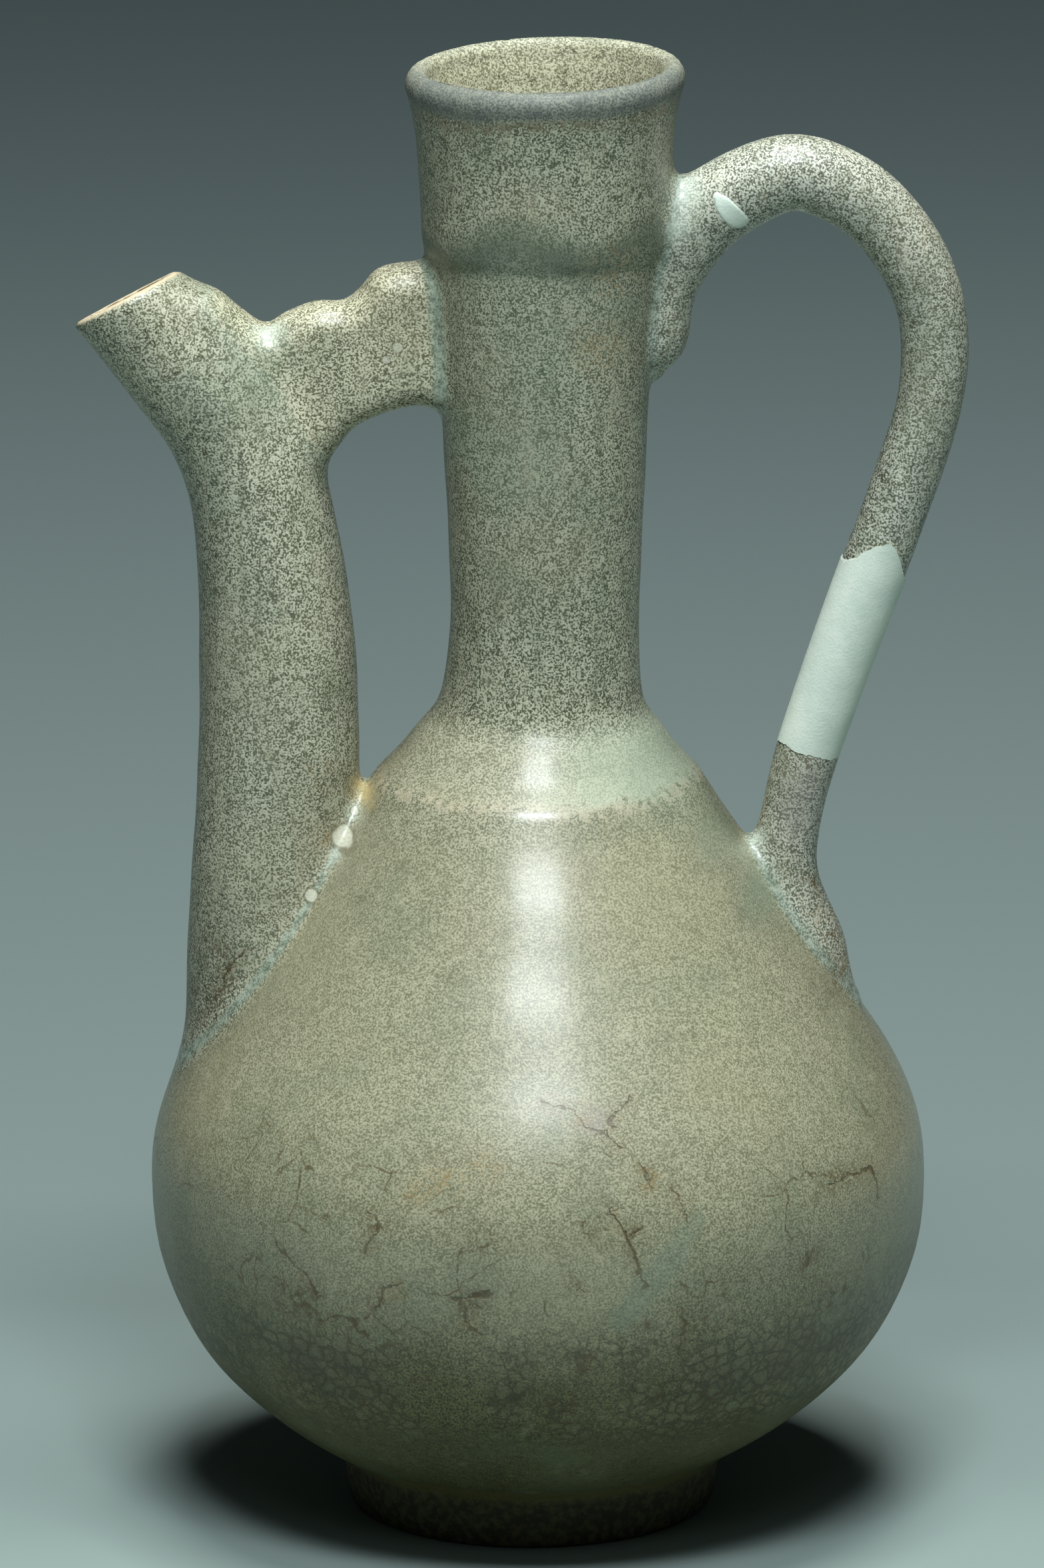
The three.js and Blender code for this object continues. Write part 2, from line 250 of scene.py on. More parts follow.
# %% [markdown]
# ## Spout, handle and bridge
# The spout and the handle are round coils along a curved line in the plane of the ewer, and
# their thickness changes on the way. Each has a few stations: sideways place, height, radius.
# The bridge is a slab whose top edge is cut in two lobes.

# %% Stations of the coils and edge of the bridge
SPOUT = [(-48.0, 74.0, 16.6), (-47.6, 92.0, 16.0), (-47.4, 110.0, 15.4), (-46.8, 128.0, 14.8),
         (-46.2, 146.0, 14.5), (-46.5, 164.0, 14.1), (-47.9, 180.0, 13.2), (-50.4, 194.0, 12.6),
         (-55.0, 204.5, 12.0), (-62.3, 214.0, 11.4), (-73.8, 227.2, 10.4), (-84.0, 238.0, 10.4)]
SPOUT_WALL = 3.4
SPOUT_MOUTH = np.array((-73.8, 0.0, 227.3))
SPOUT_CUT, SPOUT_CUT_BACK = math.radians(27.6), math.radians(10.0)
HANDLE = [(22.1, 214.2, 2.2), (22.7, 217.4, 4.5), (23.1, 221.0, 5.5), (23.6, 226.0, 5.6),
          (25.0, 231.5, 5.9), (28.2, 238.0, 6.8),
          (34.0, 244.8, 7.4), (46.4, 250.4, 6.9), (57.4, 247.0, 6.7), (65.6, 239.6, 6.5),
          (70.7, 230.6, 6.4), (72.9, 221.0, 6.3), (72.3, 209.0, 6.1), (68.6, 195.6, 6.1),
          (63.6, 181.0, 6.0), (58.8, 167.5, 5.9), (53.9, 153.5, 5.8), (49.9, 141.0, 5.6),
          (47.2, 129.6, 5.5), (45.8, 121.0, 6.2), (46.6, 112.5, 7.8), (50.2, 104.0, 7.8),
          (54.5, 95.5, 5.0)]
BRIDGE_TOP = [(-62.0, 227.0), (-57.5, 227.4), (-53.0, 224.3), (-48.6, 222.0), (-44.8, 224.2),
              (-39.3, 226.3), (-34.4, 226.5), (-31.2, 228.8), (-28.5, 231.9), (-25.0, 233.2),
              (-20.0, 233.6), (-12.0, 233.4)]
BRIDGE_UNDER = [(-12.0, 207.4), (-17.5, 207.4), (-21.0, 207.6), (-25.2, 206.6), (-31.3, 204.0),
                (-36.0, 199.6), (-44.0, 196.0)]
BRIDGE_THICK, BRIDGE_ROUND = 13.0, 5.0
print("stations: spout", len(SPOUT), "handle", len(HANDLE), "bridge edge",
      len(BRIDGE_TOP) + len(BRIDGE_UNDER))

# %% [markdown]
# ## Measuring the coils
# A smooth line runs through the stations. For each place in the plane the grid then holds how
# far that line is and how thick the coil is at its nearest place. A coil is round, so the third
# direction follows by the rule of the right-angled triangle.

# %% Measure the coils and the bridge
COIL_REACH = 24.0


def smooth_curve(stations, steps=8):
    """A curve through every station, with the same softness everywhere."""
    rows = np.array(stations, float)
    rows = np.vstack([2 * rows[0] - rows[1], rows, 2 * rows[-1] - rows[-2]])
    t = (np.arange(steps) / steps)[:, None]
    parts = []
    for a, b, c, d in zip(rows, rows[1:], rows[2:], rows[3:]):
        parts.append(0.5 * (2 * b + (c - a) * t + (2 * a - 5 * b + 4 * c - d) * t ** 2
                            + (3 * b - a - 3 * c + d) * t ** 3))
    return np.vstack(parts + [rows[-2:-1]])


def coil_grid(stations):
    """For each place in the plane: distance to the coil's middle line and the radius there."""
    line = smooth_curve(stations)
    grid = PlaneGrid(line[:, :2].min(axis=0) - COIL_REACH, line[:, :2].max(axis=0) + COIL_REACH)
    best = np.full(len(grid.points), FAR)
    radius = np.zeros(len(grid.points))
    for a, b in zip(line, line[1:]):
        away, share = segment_distance(grid.points, a[:2], b[:2])
        nearer = away < best
        best = np.where(nearer, away, best)
        radius = np.where(nearer, a[2] + share * (b[2] - a[2]), radius)
    grid.keep("away", best)
    grid.keep("radius", radius)
    return grid


spout_grid, handle_grid = coil_grid(SPOUT), coil_grid(HANDLE)
bridge_loop = np.vstack([smooth_curve(BRIDGE_TOP, 5), smooth_curve(BRIDGE_UNDER, 5)])
bridge_grid = PlaneGrid((-92.0, 180.0), (4.0, 252.0))
bridge_grid.keep("edge", closed_distance(bridge_grid.points, bridge_loop))
print("spout, handle and bridge are", spout_grid.count, handle_grid.count, bridge_grid.count)

# %% [markdown]
# ## One field for the whole body
# Outside shapes are joined with a soft corner, the hollow and the bore are taken out with a
# small one, and the mouth of the spout is cut at a slant. Three helpers do all of that: one fills
# the corner between two shapes, one takes a shape away, and one changes a value slowly.

# %% Blend, carve and ease
def blend(a, b, width):
    """The smaller of two distances, with the corner between them filled."""
    h = np.maximum(width - np.abs(a - b), 0.0) / width
    return np.minimum(a, b) - h * h * width * 0.25


def carve(a, b, width):
    """a without b, with a rounded edge."""
    return -blend(-a, b, width)


def smoothstep(x, low, high):
    t = np.clip((x - low) / (high - low), 0.0, 1.0)
    return t * t * (3 - 2 * t)


print("a corner 4 mm wide is filled by", -blend(0.0, 0.0, 4.0), "mm where two surfaces cross")

# %% [markdown]
# ## The distance to each part
# The vessel leans a little, its mouth dips, and the step of the collar runs higher in front than
# behind. So a point is moved the other way before the turned grid is read. The bridge is a slab
# with rounded edges, and the spout ends at a slanted plane.

# %% Distance to each part
COLLAR_BOW = 1.6
MOUTH_EDGE = 1.6
cut_normal = np.array((-math.sin(SPOUT_CUT), math.sin(SPOUT_CUT_BACK), math.cos(SPOUT_CUT)))
cut_normal /= np.linalg.norm(cut_normal)


def lean(z):
    return (BULB_SHIFT * smoothstep(z, 0.0, BELLY_HEIGHT)
            + NECK_SHIFT * smoothstep(z, SHOULDER_HEIGHT, NECK_HEIGHT))


def turned_distance(name, x, y, z):
    x = x - lean(z)
    z = z - MOUTH_DIP * x * smoothstep(z, COLLAR_HEIGHT, HEIGHT)
    if name == "outer":
        rise = smoothstep(z, COLLAR_HEIGHT - 9, COLLAR_HEIGHT + 1)
        fall = smoothstep(-z, -COLLAR_HEIGHT - 14, -COLLAR_HEIGHT - 4)
        z = z + COLLAR_BOW * rise * fall * y / COLLAR_RADIUS
    return turned.read(name, np.hypot(x, y), z)


def coil_distance(grid, x, y, z, thinner=0.0):
    return np.hypot(grid.read("away", x, z), y) - grid.read("radius", x, z) + thinner


def bridge_distance(x, y, z):
    edge = bridge_grid.read("edge", x, z) + BRIDGE_ROUND
    side = np.abs(y) - BRIDGE_THICK / 2 + BRIDGE_ROUND
    outside = np.hypot(np.maximum(edge, 0.0), np.maximum(side, 0.0))
    return outside + np.minimum(np.maximum(edge, side), 0.0) - BRIDGE_ROUND


def past_mouth(x, y, z):
    """How far a place is past the slanted mouth of the spout, below zero inside the spout."""
    return ((x - SPOUT_MOUTH[0]) * cut_normal[0] + y * cut_normal[1]
            + (z - SPOUT_MOUTH[2]) * cut_normal[2])


def parts_of(x, y, z):
    """Distances to the bulb with neck, the spout, the bridge and the handle."""
    body = turned_distance("outer", x, y, z)
    spout = carve(coil_distance(spout_grid, x, y, z), -past_mouth(x, y, z), MOUTH_EDGE)
    return body, spout, bridge_distance(x, y, z), coil_distance(handle_grid, x, y, z)


print("the spout's mouth faces", [round(float(share), 2) for share in cut_normal])

# %% [markdown]
# ## The ewer as a field
# The spout and the bridge are joined first, then both to the body, and the handle last. Slow
# waves of a few tenths of a millimetre stand for the unevenness of hand work. Then the inside is
# hollowed, and the broken-out length of the handle is taken away.

# %% The field of the ewer
INFILL_TOP, INFILL_LOW = (62.3, 176.0), (50.9, 144.4)
INFILL_LAP, HANDLE_REACH = 0.6, 16.0
SADDLE_FILLET, JOIN_FILLET, INNER_EDGE = 7.0, 4.0, 1.6
SWELL_HEIGHT, SWELL_WIDTH, SWELL, STEP_IN = 147.0, 3.4, 0.75, 0.1
BORE_LOW = 84.0
broken_line = np.array((INFILL_TOP[0] - INFILL_LOW[0], INFILL_TOP[1] - INFILL_LOW[1]))
broken_length = np.linalg.norm(broken_line)
broken_line /= broken_length


def missing_length(x, y, z, shrink):
    """The broken-out length of the handle, shorter by the given amount at each end."""
    along = (x - INFILL_LOW[0]) * broken_line[0] + (z - INFILL_LOW[1]) * broken_line[1]
    across = (x - INFILL_LOW[0]) * broken_line[1] - (z - INFILL_LOW[1]) * broken_line[0]
    ends = np.abs(along - broken_length / 2) - broken_length / 2 + shrink
    return np.maximum(ends, np.hypot(across, y) - HANDLE_REACH)


def waves(x, y, z):
    """Two slow waves, and fine throwing rings above the foot."""
    return (0.16 * np.sin(x / 17 + y / 23 + 1.3) * np.sin(z / 19 + 0.4)
            + 0.10 * np.sin(x / 8 - z / 11) * np.sin(y / 9 + z / 27)
            + 0.05 * np.sin(z / 2.9 + 0.3 * np.sin(x / 15)) * smoothstep(z, 12, 30))


def handle_fillet(z):
    """The pressed tail ends sharply; the saddle above it and the root below are filled."""
    return 4.0 - 1.8 * smoothstep(z, 200.0, 212.0) + 3.4 * smoothstep(z, 226.0, 242.0)


def shoulder_step(z):
    """The cone of the shoulder steps in a little above its lower edge and then swells."""
    swell = SWELL * np.exp(-((z - SWELL_HEIGHT) / SWELL_WIDTH) ** 2)
    return STEP_IN * smoothstep(z, 138.2, 140.4) - swell


def ewer_field(x, y, z):
    body, spout, bridge, handle = parts_of(x, y, z)
    shape = blend(spout, bridge, SADDLE_FILLET)
    shape = blend(body + shoulder_step(z), shape, JOIN_FILLET)
    shape = blend(shape, handle, handle_fillet(z))
    shape = shape + waves(x, y, z)
    hollow = turned_distance("inner", x, y, z)
    bore = coil_distance(spout_grid, x, y, z, SPOUT_WALL)
    bore = np.maximum(bore, BORE_LOW - z)
    shape = carve(shape, np.minimum(hollow, bore), INNER_EDGE)
    return np.maximum(shape, -missing_length(x, y, z, INFILL_LAP))


print("the broken-out length is", round(float(broken_length), 1), "mm long")

# %% [markdown]
# ## From a distance to a mesh
# The field is sampled on a grid of cubes. Every cube that the surface crosses gets one vertex,
# and four neighbouring cubes round a crossed edge make one quad. Two steps of smoothing with a
# pull back onto the surface then leave even quads that lie exactly on the shape. A first coarse
# pass finds where the surface can be, so that the fine pass skips the empty air.

# %% Sample the field and pull points onto it
BLOCK = 4
BATCH = 400000
SLOPE_REACH = 0.15
FLATTEST = 0.09
SHORTEST = 1e-9


def blow_up(values, factor):
    """Repeat a coarse grid so that each value covers its fine block."""
    for axis in range(3):
        values = np.repeat(values, factor, axis=axis)
    return values


def sampled(field, low, high, step):
    """The field on a fine grid; only the values near the surface are exact."""
    blocks = np.ceil((high - low) / (step * BLOCK)).astype(int)
    middles = [low[k] + step * BLOCK * (np.arange(blocks[k]) + 0.5) - step / 2 for k in range(3)]
    values = blow_up(field(*np.meshgrid(*middles, indexing="ij")), BLOCK).astype(np.float32)
    places = np.argwhere(np.abs(values) < step * BLOCK * 1.25 + 1.0)
    fine = low + places * step
    for start in range(0, len(fine), BATCH):
        part = slice(start, start + BATCH)
        values[tuple(places[part].T)] = field(*fine[part].T)
    return values


def pull_onto(field, points, times, reach):
    """Move points along the slope of the field until they lie on its zero surface."""
    h = SLOPE_REACH
    for _ in range(times):
        x, y, z = points.T
        value = field(x, y, z)
        slope_at = np.stack([field(x + h, y, z) - field(x - h, y, z),
                             field(x, y + h, z) - field(x, y - h, z),
                             field(x, y, z + h) - field(x, y, z - h)], axis=1) / (2 * h)
        length = np.maximum((slope_at ** 2).sum(axis=1), FLATTEST)
        move = -(value / length)[:, None] * slope_at
        size = np.linalg.norm(move, axis=1)[:, None]
        points = points + move * np.minimum(1.0, reach / np.maximum(size, SHORTEST))
    return points, slope_at / np.sqrt(length)[:, None]


print("the coarse pass looks at blocks of", BLOCK, "cubes a side")

# %% [markdown]
# ## The net of quads
# Each axis is handled alike: where two neighbours on the grid lie on different sides of the
# surface, the four cubes round the edge between them are joined, turned so that the quad faces
# outwards.

# %% Join the cubes into quads
RELAX_TIMES, RELAX_SHARE = 2, 0.6
CORNERS = [(dx, dy, dz) for dx in (0, 1) for dy in (0, 1) for dz in (0, 1)]


def net_quads(solid, index, cells):
    """One quad round every grid edge that the surface crosses."""
    quads = []
    for axis in range(3):
        u, v = (axis + 1) % 3, (axis + 2) % 3
        first = [slice(1, n) for n in cells]
        first[axis] = slice(0, cells[axis])
        second = list(first)
        second[axis] = slice(1, cells[axis] + 1)
        here, there = solid[tuple(first)], solid[tuple(second)]
        at = np.argwhere(here != there)
        outward = here[tuple(at.T)]
        at = at + np.array([0 if k == axis else 1 for k in range(3)])
        back_u, back_v = np.eye(3, dtype=int)[u], np.eye(3, dtype=int)[v]
        ring = [index[tuple((at - du * back_u - dv * back_v).T)]
                for du, dv in ((0, 0), (1, 0), (1, 1), (0, 1))]
        ring = np.stack(ring, axis=1)
        quads.append(np.where(outward[:, None], ring, ring[:, ::-1]))
    return np.vstack(quads)


def surface_nets(field, low, high, step):
    """Vertices and quads of the zero surface inside a box."""
    low, high = np.array(low, float), np.array(high, float)
    solid = sampled(field, low, high, step) < 0
    cells = tuple(n - 1 for n in solid.shape)
    total = sum(solid[tuple(slice(d, n + d) for d, n in zip(corner, cells))].astype(np.int8)
                for corner in CORNERS)
    mixed = (total > 0) & (total < len(CORNERS))
    index = np.full(cells, -1, np.int64)
    index[mixed] = np.arange(mixed.sum())
    points = low + (np.argwhere(mixed) + 0.5) * step
    quads = net_quads(solid, index, cells)
    points, normals = pull_onto(field, points, 3, step)
    ends = np.vstack([quads[:, [k, (k + 1) % 4]] for k in range(4)])
    for _ in range(RELAX_TIMES):
        total = np.zeros_like(points)
        np.add.at(total, ends[:, 0], points[ends[:, 1]])
        count = np.bincount(ends[:, 0], minlength=len(points))[:, None]
        shift = total / np.maximum(count, 1) - points
        shift -= (shift * normals).sum(axis=1)[:, None] * normals
        points, normals = pull_onto(field, points + RELAX_SHARE * shift, 1, step)
    return points, quads


STEP = 1.35
EWER_LOW, EWER_HIGH = (-90.0, -76.0, -4.0), (86.0, 76.0, HEIGHT + 5.0)
ewer_points, ewer_quads = surface_nets(ewer_field, EWER_LOW, EWER_HIGH, STEP)
print("ewer:", len(ewer_points), "vertices,", len(ewer_quads), "quads")

# %% [markdown]
# ## Helpers for the pieces
# All pieces are worked out in millimetres from the foot, so one helper makes a mesh object from
# such places and one reads them back. A third turns a piece with modifiers into a plain mesh,
# because only plain meshes are hung on the frame.

# %% Helpers for the pieces
def add_mesh(name, points, faces):
    """A smooth-shaded mesh in the frame, from places measured from the foot."""
    mesh = bpy.data.meshes.new(name)
    mesh.vertices.add(len(points))
    mesh.vertices.foreach_set("co", ((points + (FOOT_X, 0.0, 0.0)) * MM).ravel())
    mesh.loops.add(faces.size)
    mesh.loops.foreach_set("vertex_index", faces.ravel().astype(np.int32))
    mesh.polygons.add(len(faces))
    starts = np.arange(len(faces)) * faces.shape[1]
    mesh.polygons.foreach_set("loop_start", starts.astype(np.int32))
    mesh.update(calc_edges=True)
    mesh.shade_smooth()
    piece = bpy.data.objects.new(name, mesh)
    bpy.context.scene.collection.objects.link(piece)
    return piece


def places_of(piece):
    """The vertices of a piece, in millimetres from the foot."""
    places = np.empty(len(piece.data.vertices) * 3)
    piece.data.vertices.foreach_get("co", places)
    return places.reshape(-1, 3) / MM - (FOOT_X, 0.0, 0.0)


def finished(piece, name):
    """Turn a piece with its modifiers into a plain mesh."""
    seen = piece.evaluated_get(bpy.context.evaluated_depsgraph_get())
    mesh = bpy.data.meshes.new_from_object(seen)
    mesh.name = name
    piece.modifiers.clear()
    piece.data = mesh
    piece.name = name
    return piece


print("the frame is in metres, so a millimetre is", MM)

# %% [markdown]
# ## The ewer as one mesh
# The whole ewer is one piece: body, spout, bridge and handle were luted together before the
# firing. The hidden inside needs few faces, so it is thinned, and the outside is kept.

# %% Build the ewer's mesh
THIN_BELOW = 226.0
SKIN = 0.8
THIN_SHARE = 0.9


def hollow_distance(x, y, z):
    """Distance to the hollow of the vessel or to the bore of the spout."""
    bore = coil_distance(spout_grid, x, y, z, SPOUT_WALL)
    return np.minimum(turned_distance("inner", x, y, z), bore)


ewer = add_mesh("ewer_body", ewer_points, ewer_quads)
inside_skin = np.abs(hollow_distance(*ewer_points.T)) < SKIN
hidden = np.nonzero(inside_skin & (ewer_points[:, 2] < THIN_BELOW))[0]
group = ewer.vertex_groups.new(name="hidden")
group.add(hidden.tolist(), 1.0, "REPLACE")
thin = ewer.modifiers.new("thin the inside", "DECIMATE")
thin.vertex_group = "hidden"
thin.ratio = 1.0 - THIN_SHARE * len(hidden) / len(ewer_points)
ewer = finished(ewer, "ewer_body")
ewer.vertex_groups.clear()
triangles = sum(len(face.vertices) - 2 for face in ewer.data.polygons)
print("ewer:", triangles, "triangles,", len(hidden), "hidden vertices thinned")

# %% [markdown]
# ## What the glaze should know
# A glaze is thick in corners and thin on edges, and age leaves cracks and stains in places.
# Each vertex gets a few numbers for that: how near the seams are, where the collar and the lip
# run, and how far the nearest crack is. The marks are listed as seen square from the front:
# millimetres to the right and up. A crack also needs a side, left or right of its line, so that
# the number passes cleanly through zero between two vertices.

# %% Marks on the front
CRACKS = [
    [(2.6, 92.6), (6.0, 92.0), (8.5, 90.5), (9.2, 88.9), (13.4, 87.9), (15.8, 86.0)],
    [(13.4, 87.9), (14.4, 90.2), (17.2, 92.5)],
    [(19.7, 81.9), (21.2, 79.1)],
    [(14.3, 74.6), (17.2, 70.7), (18.2, 67.1), (19.7, 64.4), (20.2, 61.5)],
    [(17.2, 70.7), (18.9, 71.3)],
    [(-28.6, 73.0), (-27.4, 72.0), (-27.9, 69.4), (-29.5, 66.6)],
    [(-45.5, 64.3), (-44.7, 62.8), (-43.0, 61.1), (-41.0, 60.0), (-39.3, 56.5)],
    [(-24.3, 60.5), (-27.2, 59.0), (-28.2, 56.2)],
    [(-13.6, 59.4), (-11.8, 59.2), (-8.2, 59.9)],
    [(-11.9, 59.2), (-12.1, 55.0), (-9.6, 52.6)],
    [(-37.6, 51.3), (-34.1, 53.4), (-32.2, 52.1), (-30.3, 50.2)],
    [(10.9, 47.4), (9.7, 44.9)],
    [(54.6, 73.4), (57.5, 73.7), (60.8, 73.3), (62.6, 70.5), (62.8, 68.5)],
    [(50.7, 61.7), (49.6, 59.1)],
    [(25.7, 77.0), (27.1, 74.9), (27.9, 73.1)],
    [(27.1, 54.9), (26.9, 47.8)],
    [(-53.3, 107.3), (-55.5, 104.6), (-56.2, 102.0), (-58.6, 98.5)],
]
BROWN = [(-41, 42, 5), (-28, 55.5, 3.2), (30.7, 53, 4), (48.4, 42, 6), (32.7, 36, 4), (-9, 70, 3),
         (49.5, 61, 3), (-58.5, 99, 2.6), (-55.5, 103.5, 2.0), (-27.8, 71, 2), (18, 69.5, 2.2),
         (56, 73.3, 3), (-11, 58, 3), (8, 61.7, 2), (10.2, 46, 1.8), (20.4, 80.5, 1.6),
         (54.9, 109.1, 2.2), (56.2, 101.5, 2.6), (51.2, 117.9, 2.0), (26.0, 215.0, 3.0), (-57, 108, 4),
         (-60, 97, 5), (-44, 55, 5), (-20, 45, 6), (5, 38, 7), (22, 41, 5), (-30, 36, 6), (55, 52, 5)]
ORANGE = [(-15.4, 79.8, 3.2), (-8.1, 82.6, 3), (-20.8, 77.4, 2.6), (21.0, 79.5, 1.8),
          (-30.2, 137.6, 2.6), (-27, 141.5, 3), (-31.5, 134, 2), (53.5, 113, 3), (57, 104, 3),
          (47, 121, 2.5), (9.2, 91.2, 1.6), (-24.5, 59.6, 1.6), (12, 222, 5), (15, 236, 5),
          (-37.5, 141, 3), (-37.2, 128.5, 3)]
GREEN = [(29.2, 72.1, 2.2), (27.4, 69.4, 2.4), (25.7, 66.5, 2.6), (23.6, 64.2, 2.6), (21.9, 62.1, 2.6),
         (19.6, 59.4, 2.6), (17.6, 56.8, 2.6), (15.9, 54.7, 2.2), (24.4, 143, 9), (35, 131, 6),
         (42, 119, 5), (4, 239.4, 7), (-6, 239.2, 6), (16, 228, 5), (-14, 205, 7), (-50, 216, 8),
         (2, 222, 9), (-2, 200, 10), (-60, 212, 6)]
OCHRE = [(-31.0, 137.4, 1.8), (-30.4, 135.4, 1.2)]
PINK = [(11.4, 89.7, 2.2), (50.5, 137, 4), (48.7, 131, 4)]
SPOTS = [(-34.5, 128.9, 1.9), (-40.2, 118.9, 1.15), (-32.3, 132.9, 0.7),
         (-24.3, 219.5, 0.9), (-26.4, 217.2, 0.7)]
# Painted highlights, mostly: pale bluish-white blots on the handle's saddle and lower root, the spout
# and the saddle of the bridge.
PAINTED_HIGHLIGHTS = [(27.8, 246.8, 2.6), (26.6, 242.0, 2.4), (28.4, 249.6, 1.8), (-35.9, 125.9, 1.2),
        (41.0, 127.0, 1.6), (-47.6, 222.2, 2.6), (-32.3, 132.9, 1.2)]
BLOTS = {"brown": BROWN, "orange": ORANGE, "green": GREEN, "pink": PINK, "pale": PAINTED_HIGHLIGHTS, "ochre": OCHRE}
print(len(CRACKS), "cracks,", sum(len(marks) for marks in BLOTS.values()), "blots,", len(SPOTS), "spots")

# %% [markdown]
# ## How far the marks reach
# A crack is a line of short straight bits, so its distance is the least over all bits. A stain
# is soft and round: it is strongest in its middle and fades with the square of the distance.

# %% Measure the marks
NO_CRACK = 50.0


def nearest_crack(side, up):
    """Unsigned and signed distance to the nearest crack of the front."""
    places = np.stack([side, up], axis=1)
    near, signed = np.full(len(side), NO_CRACK), np.full(len(side), NO_CRACK)
    for line in CRACKS:
        line = np.array(line)
        for a, b in zip(line, line[1:]):
            away, _ = segment_distance(places, a, b)
            along = (b - a) / np.linalg.norm(b - a)
            left = (places[:, 0] - a[0]) * along[1] - (places[:, 1] - a[1]) * along[0]
            nearer = away < near
            signed = np.where(nearer, left, signed)
            near = np.where(nearer, away, near)
    return near, signed


def blots(marks, side, up):
    """How strongly soft round marks cover each place, 0 to 1."""
    clear = np.ones(len(side))
    for across, height, size in marks:
        clear *= 1.0 - np.exp(-((side - across) ** 2 + (up - height) ** 2) / size ** 2)
    return 1.0 - clear


distance_at_knot = nearest_crack(np.array([13.4]), np.array([87.9]))[0][0]
print("distance to the cracks at one of their knots:", round(float(distance_at_knot), 3), "mm")

# %% [markdown]
# ## Writing the facts on the vertices
# Everything that the glaze asks for goes onto the vertices as a named attribute, which stays with
# the piece wherever it is sent. A seam is where two parts are equally near. What was measured on
# the front shows on the front only.

# %% Write the facts
NO_MOUTH = -30.0
COLLAR_LINE, COLLAR_LINE_BOW, COLLAR_SAG = 2.0, 3.0, 1.7
SEAM_WIDTHS = {"spout": 1.2, "bridge": 2.2, "handle": 2.0, "saddle": 2.2}


def mark(piece, name, values):
    layer = piece.data.attributes.new(name, "FLOAT", "POINT")
    layer.data.foreach_set("value", np.ascontiguousarray(values, np.float32))


def facts(piece):
    """Write everything the glaze reads onto the vertices of a piece."""
    x, y, z = places_of(piece).T
    body_at, spout_at, bridge_at, handle_at = parts_of(x, y, z)
    pairs = {"spout": (body_at, spout_at), "bridge": (body_at, bridge_at),
             "handle": (body_at, handle_at), "saddle": (spout_at, bridge_at)}
    for name, (one, other) in pairs.items():
        meeting = np.exp(-(np.abs(one - other) / SEAM_WIDTHS[name]) ** 2)
        mark(piece, "seam_" + name, meeting * smoothstep(-np.maximum(one, other), -5.0, -2.0))
    near, signed = nearest_crack(x, z)
    mark(piece, "crack_near", np.where(y < 0, near, NO_CRACK))
    mark(piece, "crack_side", signed)
    front = smoothstep(-y, 0.5, 3.0)
    for name, marks in BLOTS.items():
        mark(piece, name, blots(marks, x, z) * front)
    normals = np.empty(len(x) * 3, np.float32)
    piece.data.vertex_normals.foreach_get("vector", normals)
    facing_side, facing_up = normals[0::3], normals[2::3]
    mark(piece, "underside", smoothstep(-facing_up, -0.15, 0.65))
    # Painted shade: surfaces that face left or right get a mask that darkens the glaze, the left ones
    # more.
    shaded_left_more = np.where(facing_side < 0, 1.0, 0.5)
    mark(piece, "flank", smoothstep(np.abs(facing_side), 0.45, 1.0) * shaded_left_more)
    mark(piece, "inside", smoothstep(-np.abs(hollow_distance(x, y, z)), -1.4, -0.4))
    level = z - MOUTH_DIP * x
    bow = COLLAR_LINE_BOW * -y / COLLAR_RADIUS
    sag = COLLAR_SAG * np.cos((x + 3.0) / 4.2) * smoothstep(-y, 2.0, 12.0)
    mark(piece, "collar", level - (COLLAR_HEIGHT + COLLAR_LINE + bow + sag))
    mark(piece, "rim", level - HEIGHT)
    mark(piece, "on_spout", smoothstep(-spout_at, -3.0, -0.6))
    mark(piece, "on_bridge", smoothstep(-bridge_at, -3.0, -0.6))
    mark(piece, "on_handle", smoothstep(-handle_at, -2.5, -0.6))
    mark(piece, "mouth", np.where(x < -60.0, past_mouth(x, y, z), NO_MOUTH))


facts(ewer)
print("facts:", [layer.name for layer in ewer.data.attributes if layer.data_type == "FLOAT"])

# %% [markdown]
# ## The plaster length of the handle
# A broken-out length of the handle is filled with white plaster. It is a round bar that follows
# the handle and laps a little over both stubs, with an uneven edge. A bar that follows a path is
# a rule, so nodes make it: a curve, a radius, a tube, and a little noise along the bar at its
# ends. The upper edge reaches highest in front, as a tongue.

# %% Sizes of the bar and the inputs of its tree
FILL_LOW, FILL_MIDDLE, FILL_TOP = (50.5, 143.0), (55.9, 159.8), (62.1, 176.5)
FILL_RADIUS_LOW, FILL_RADIUS_TOP = 5.86, 6.32
FILL_TONGUE, FILL_JAG = 6.6, 1.0
TONGUE_SIDE = (0.1, -0.995, 0.0)
END_REACH, TONGUE_NARROWNESS = 6.0, 3.0
JAG_GRAIN, JAG_GAIN = 700.0, 2.4
TURNS, STEPS = 72, 90
ZERO = (0.0, 0.0, 0.0)
INPUTS = (("Low end", "NodeSocketVector", ZERO), ("Middle", "NodeSocketVector", ZERO),
          ("Top end", "NodeSocketVector", ZERO), ("Low radius", "NodeSocketFloat", 0.006),
          ("Top radius", "NodeSocketFloat", 0.006), ("Tongue", "NodeSocketFloat", 0.002),
          ("Jag", "NodeSocketFloat", 0.001), ("Tongue side", "NodeSocketVector", (0.0, -1.0, 0.0)),
          ("Material", "NodeSocketMaterial", None))


def join(tree, *pairs):
    for out, into in pairs:
        tree.links.new(out, into)


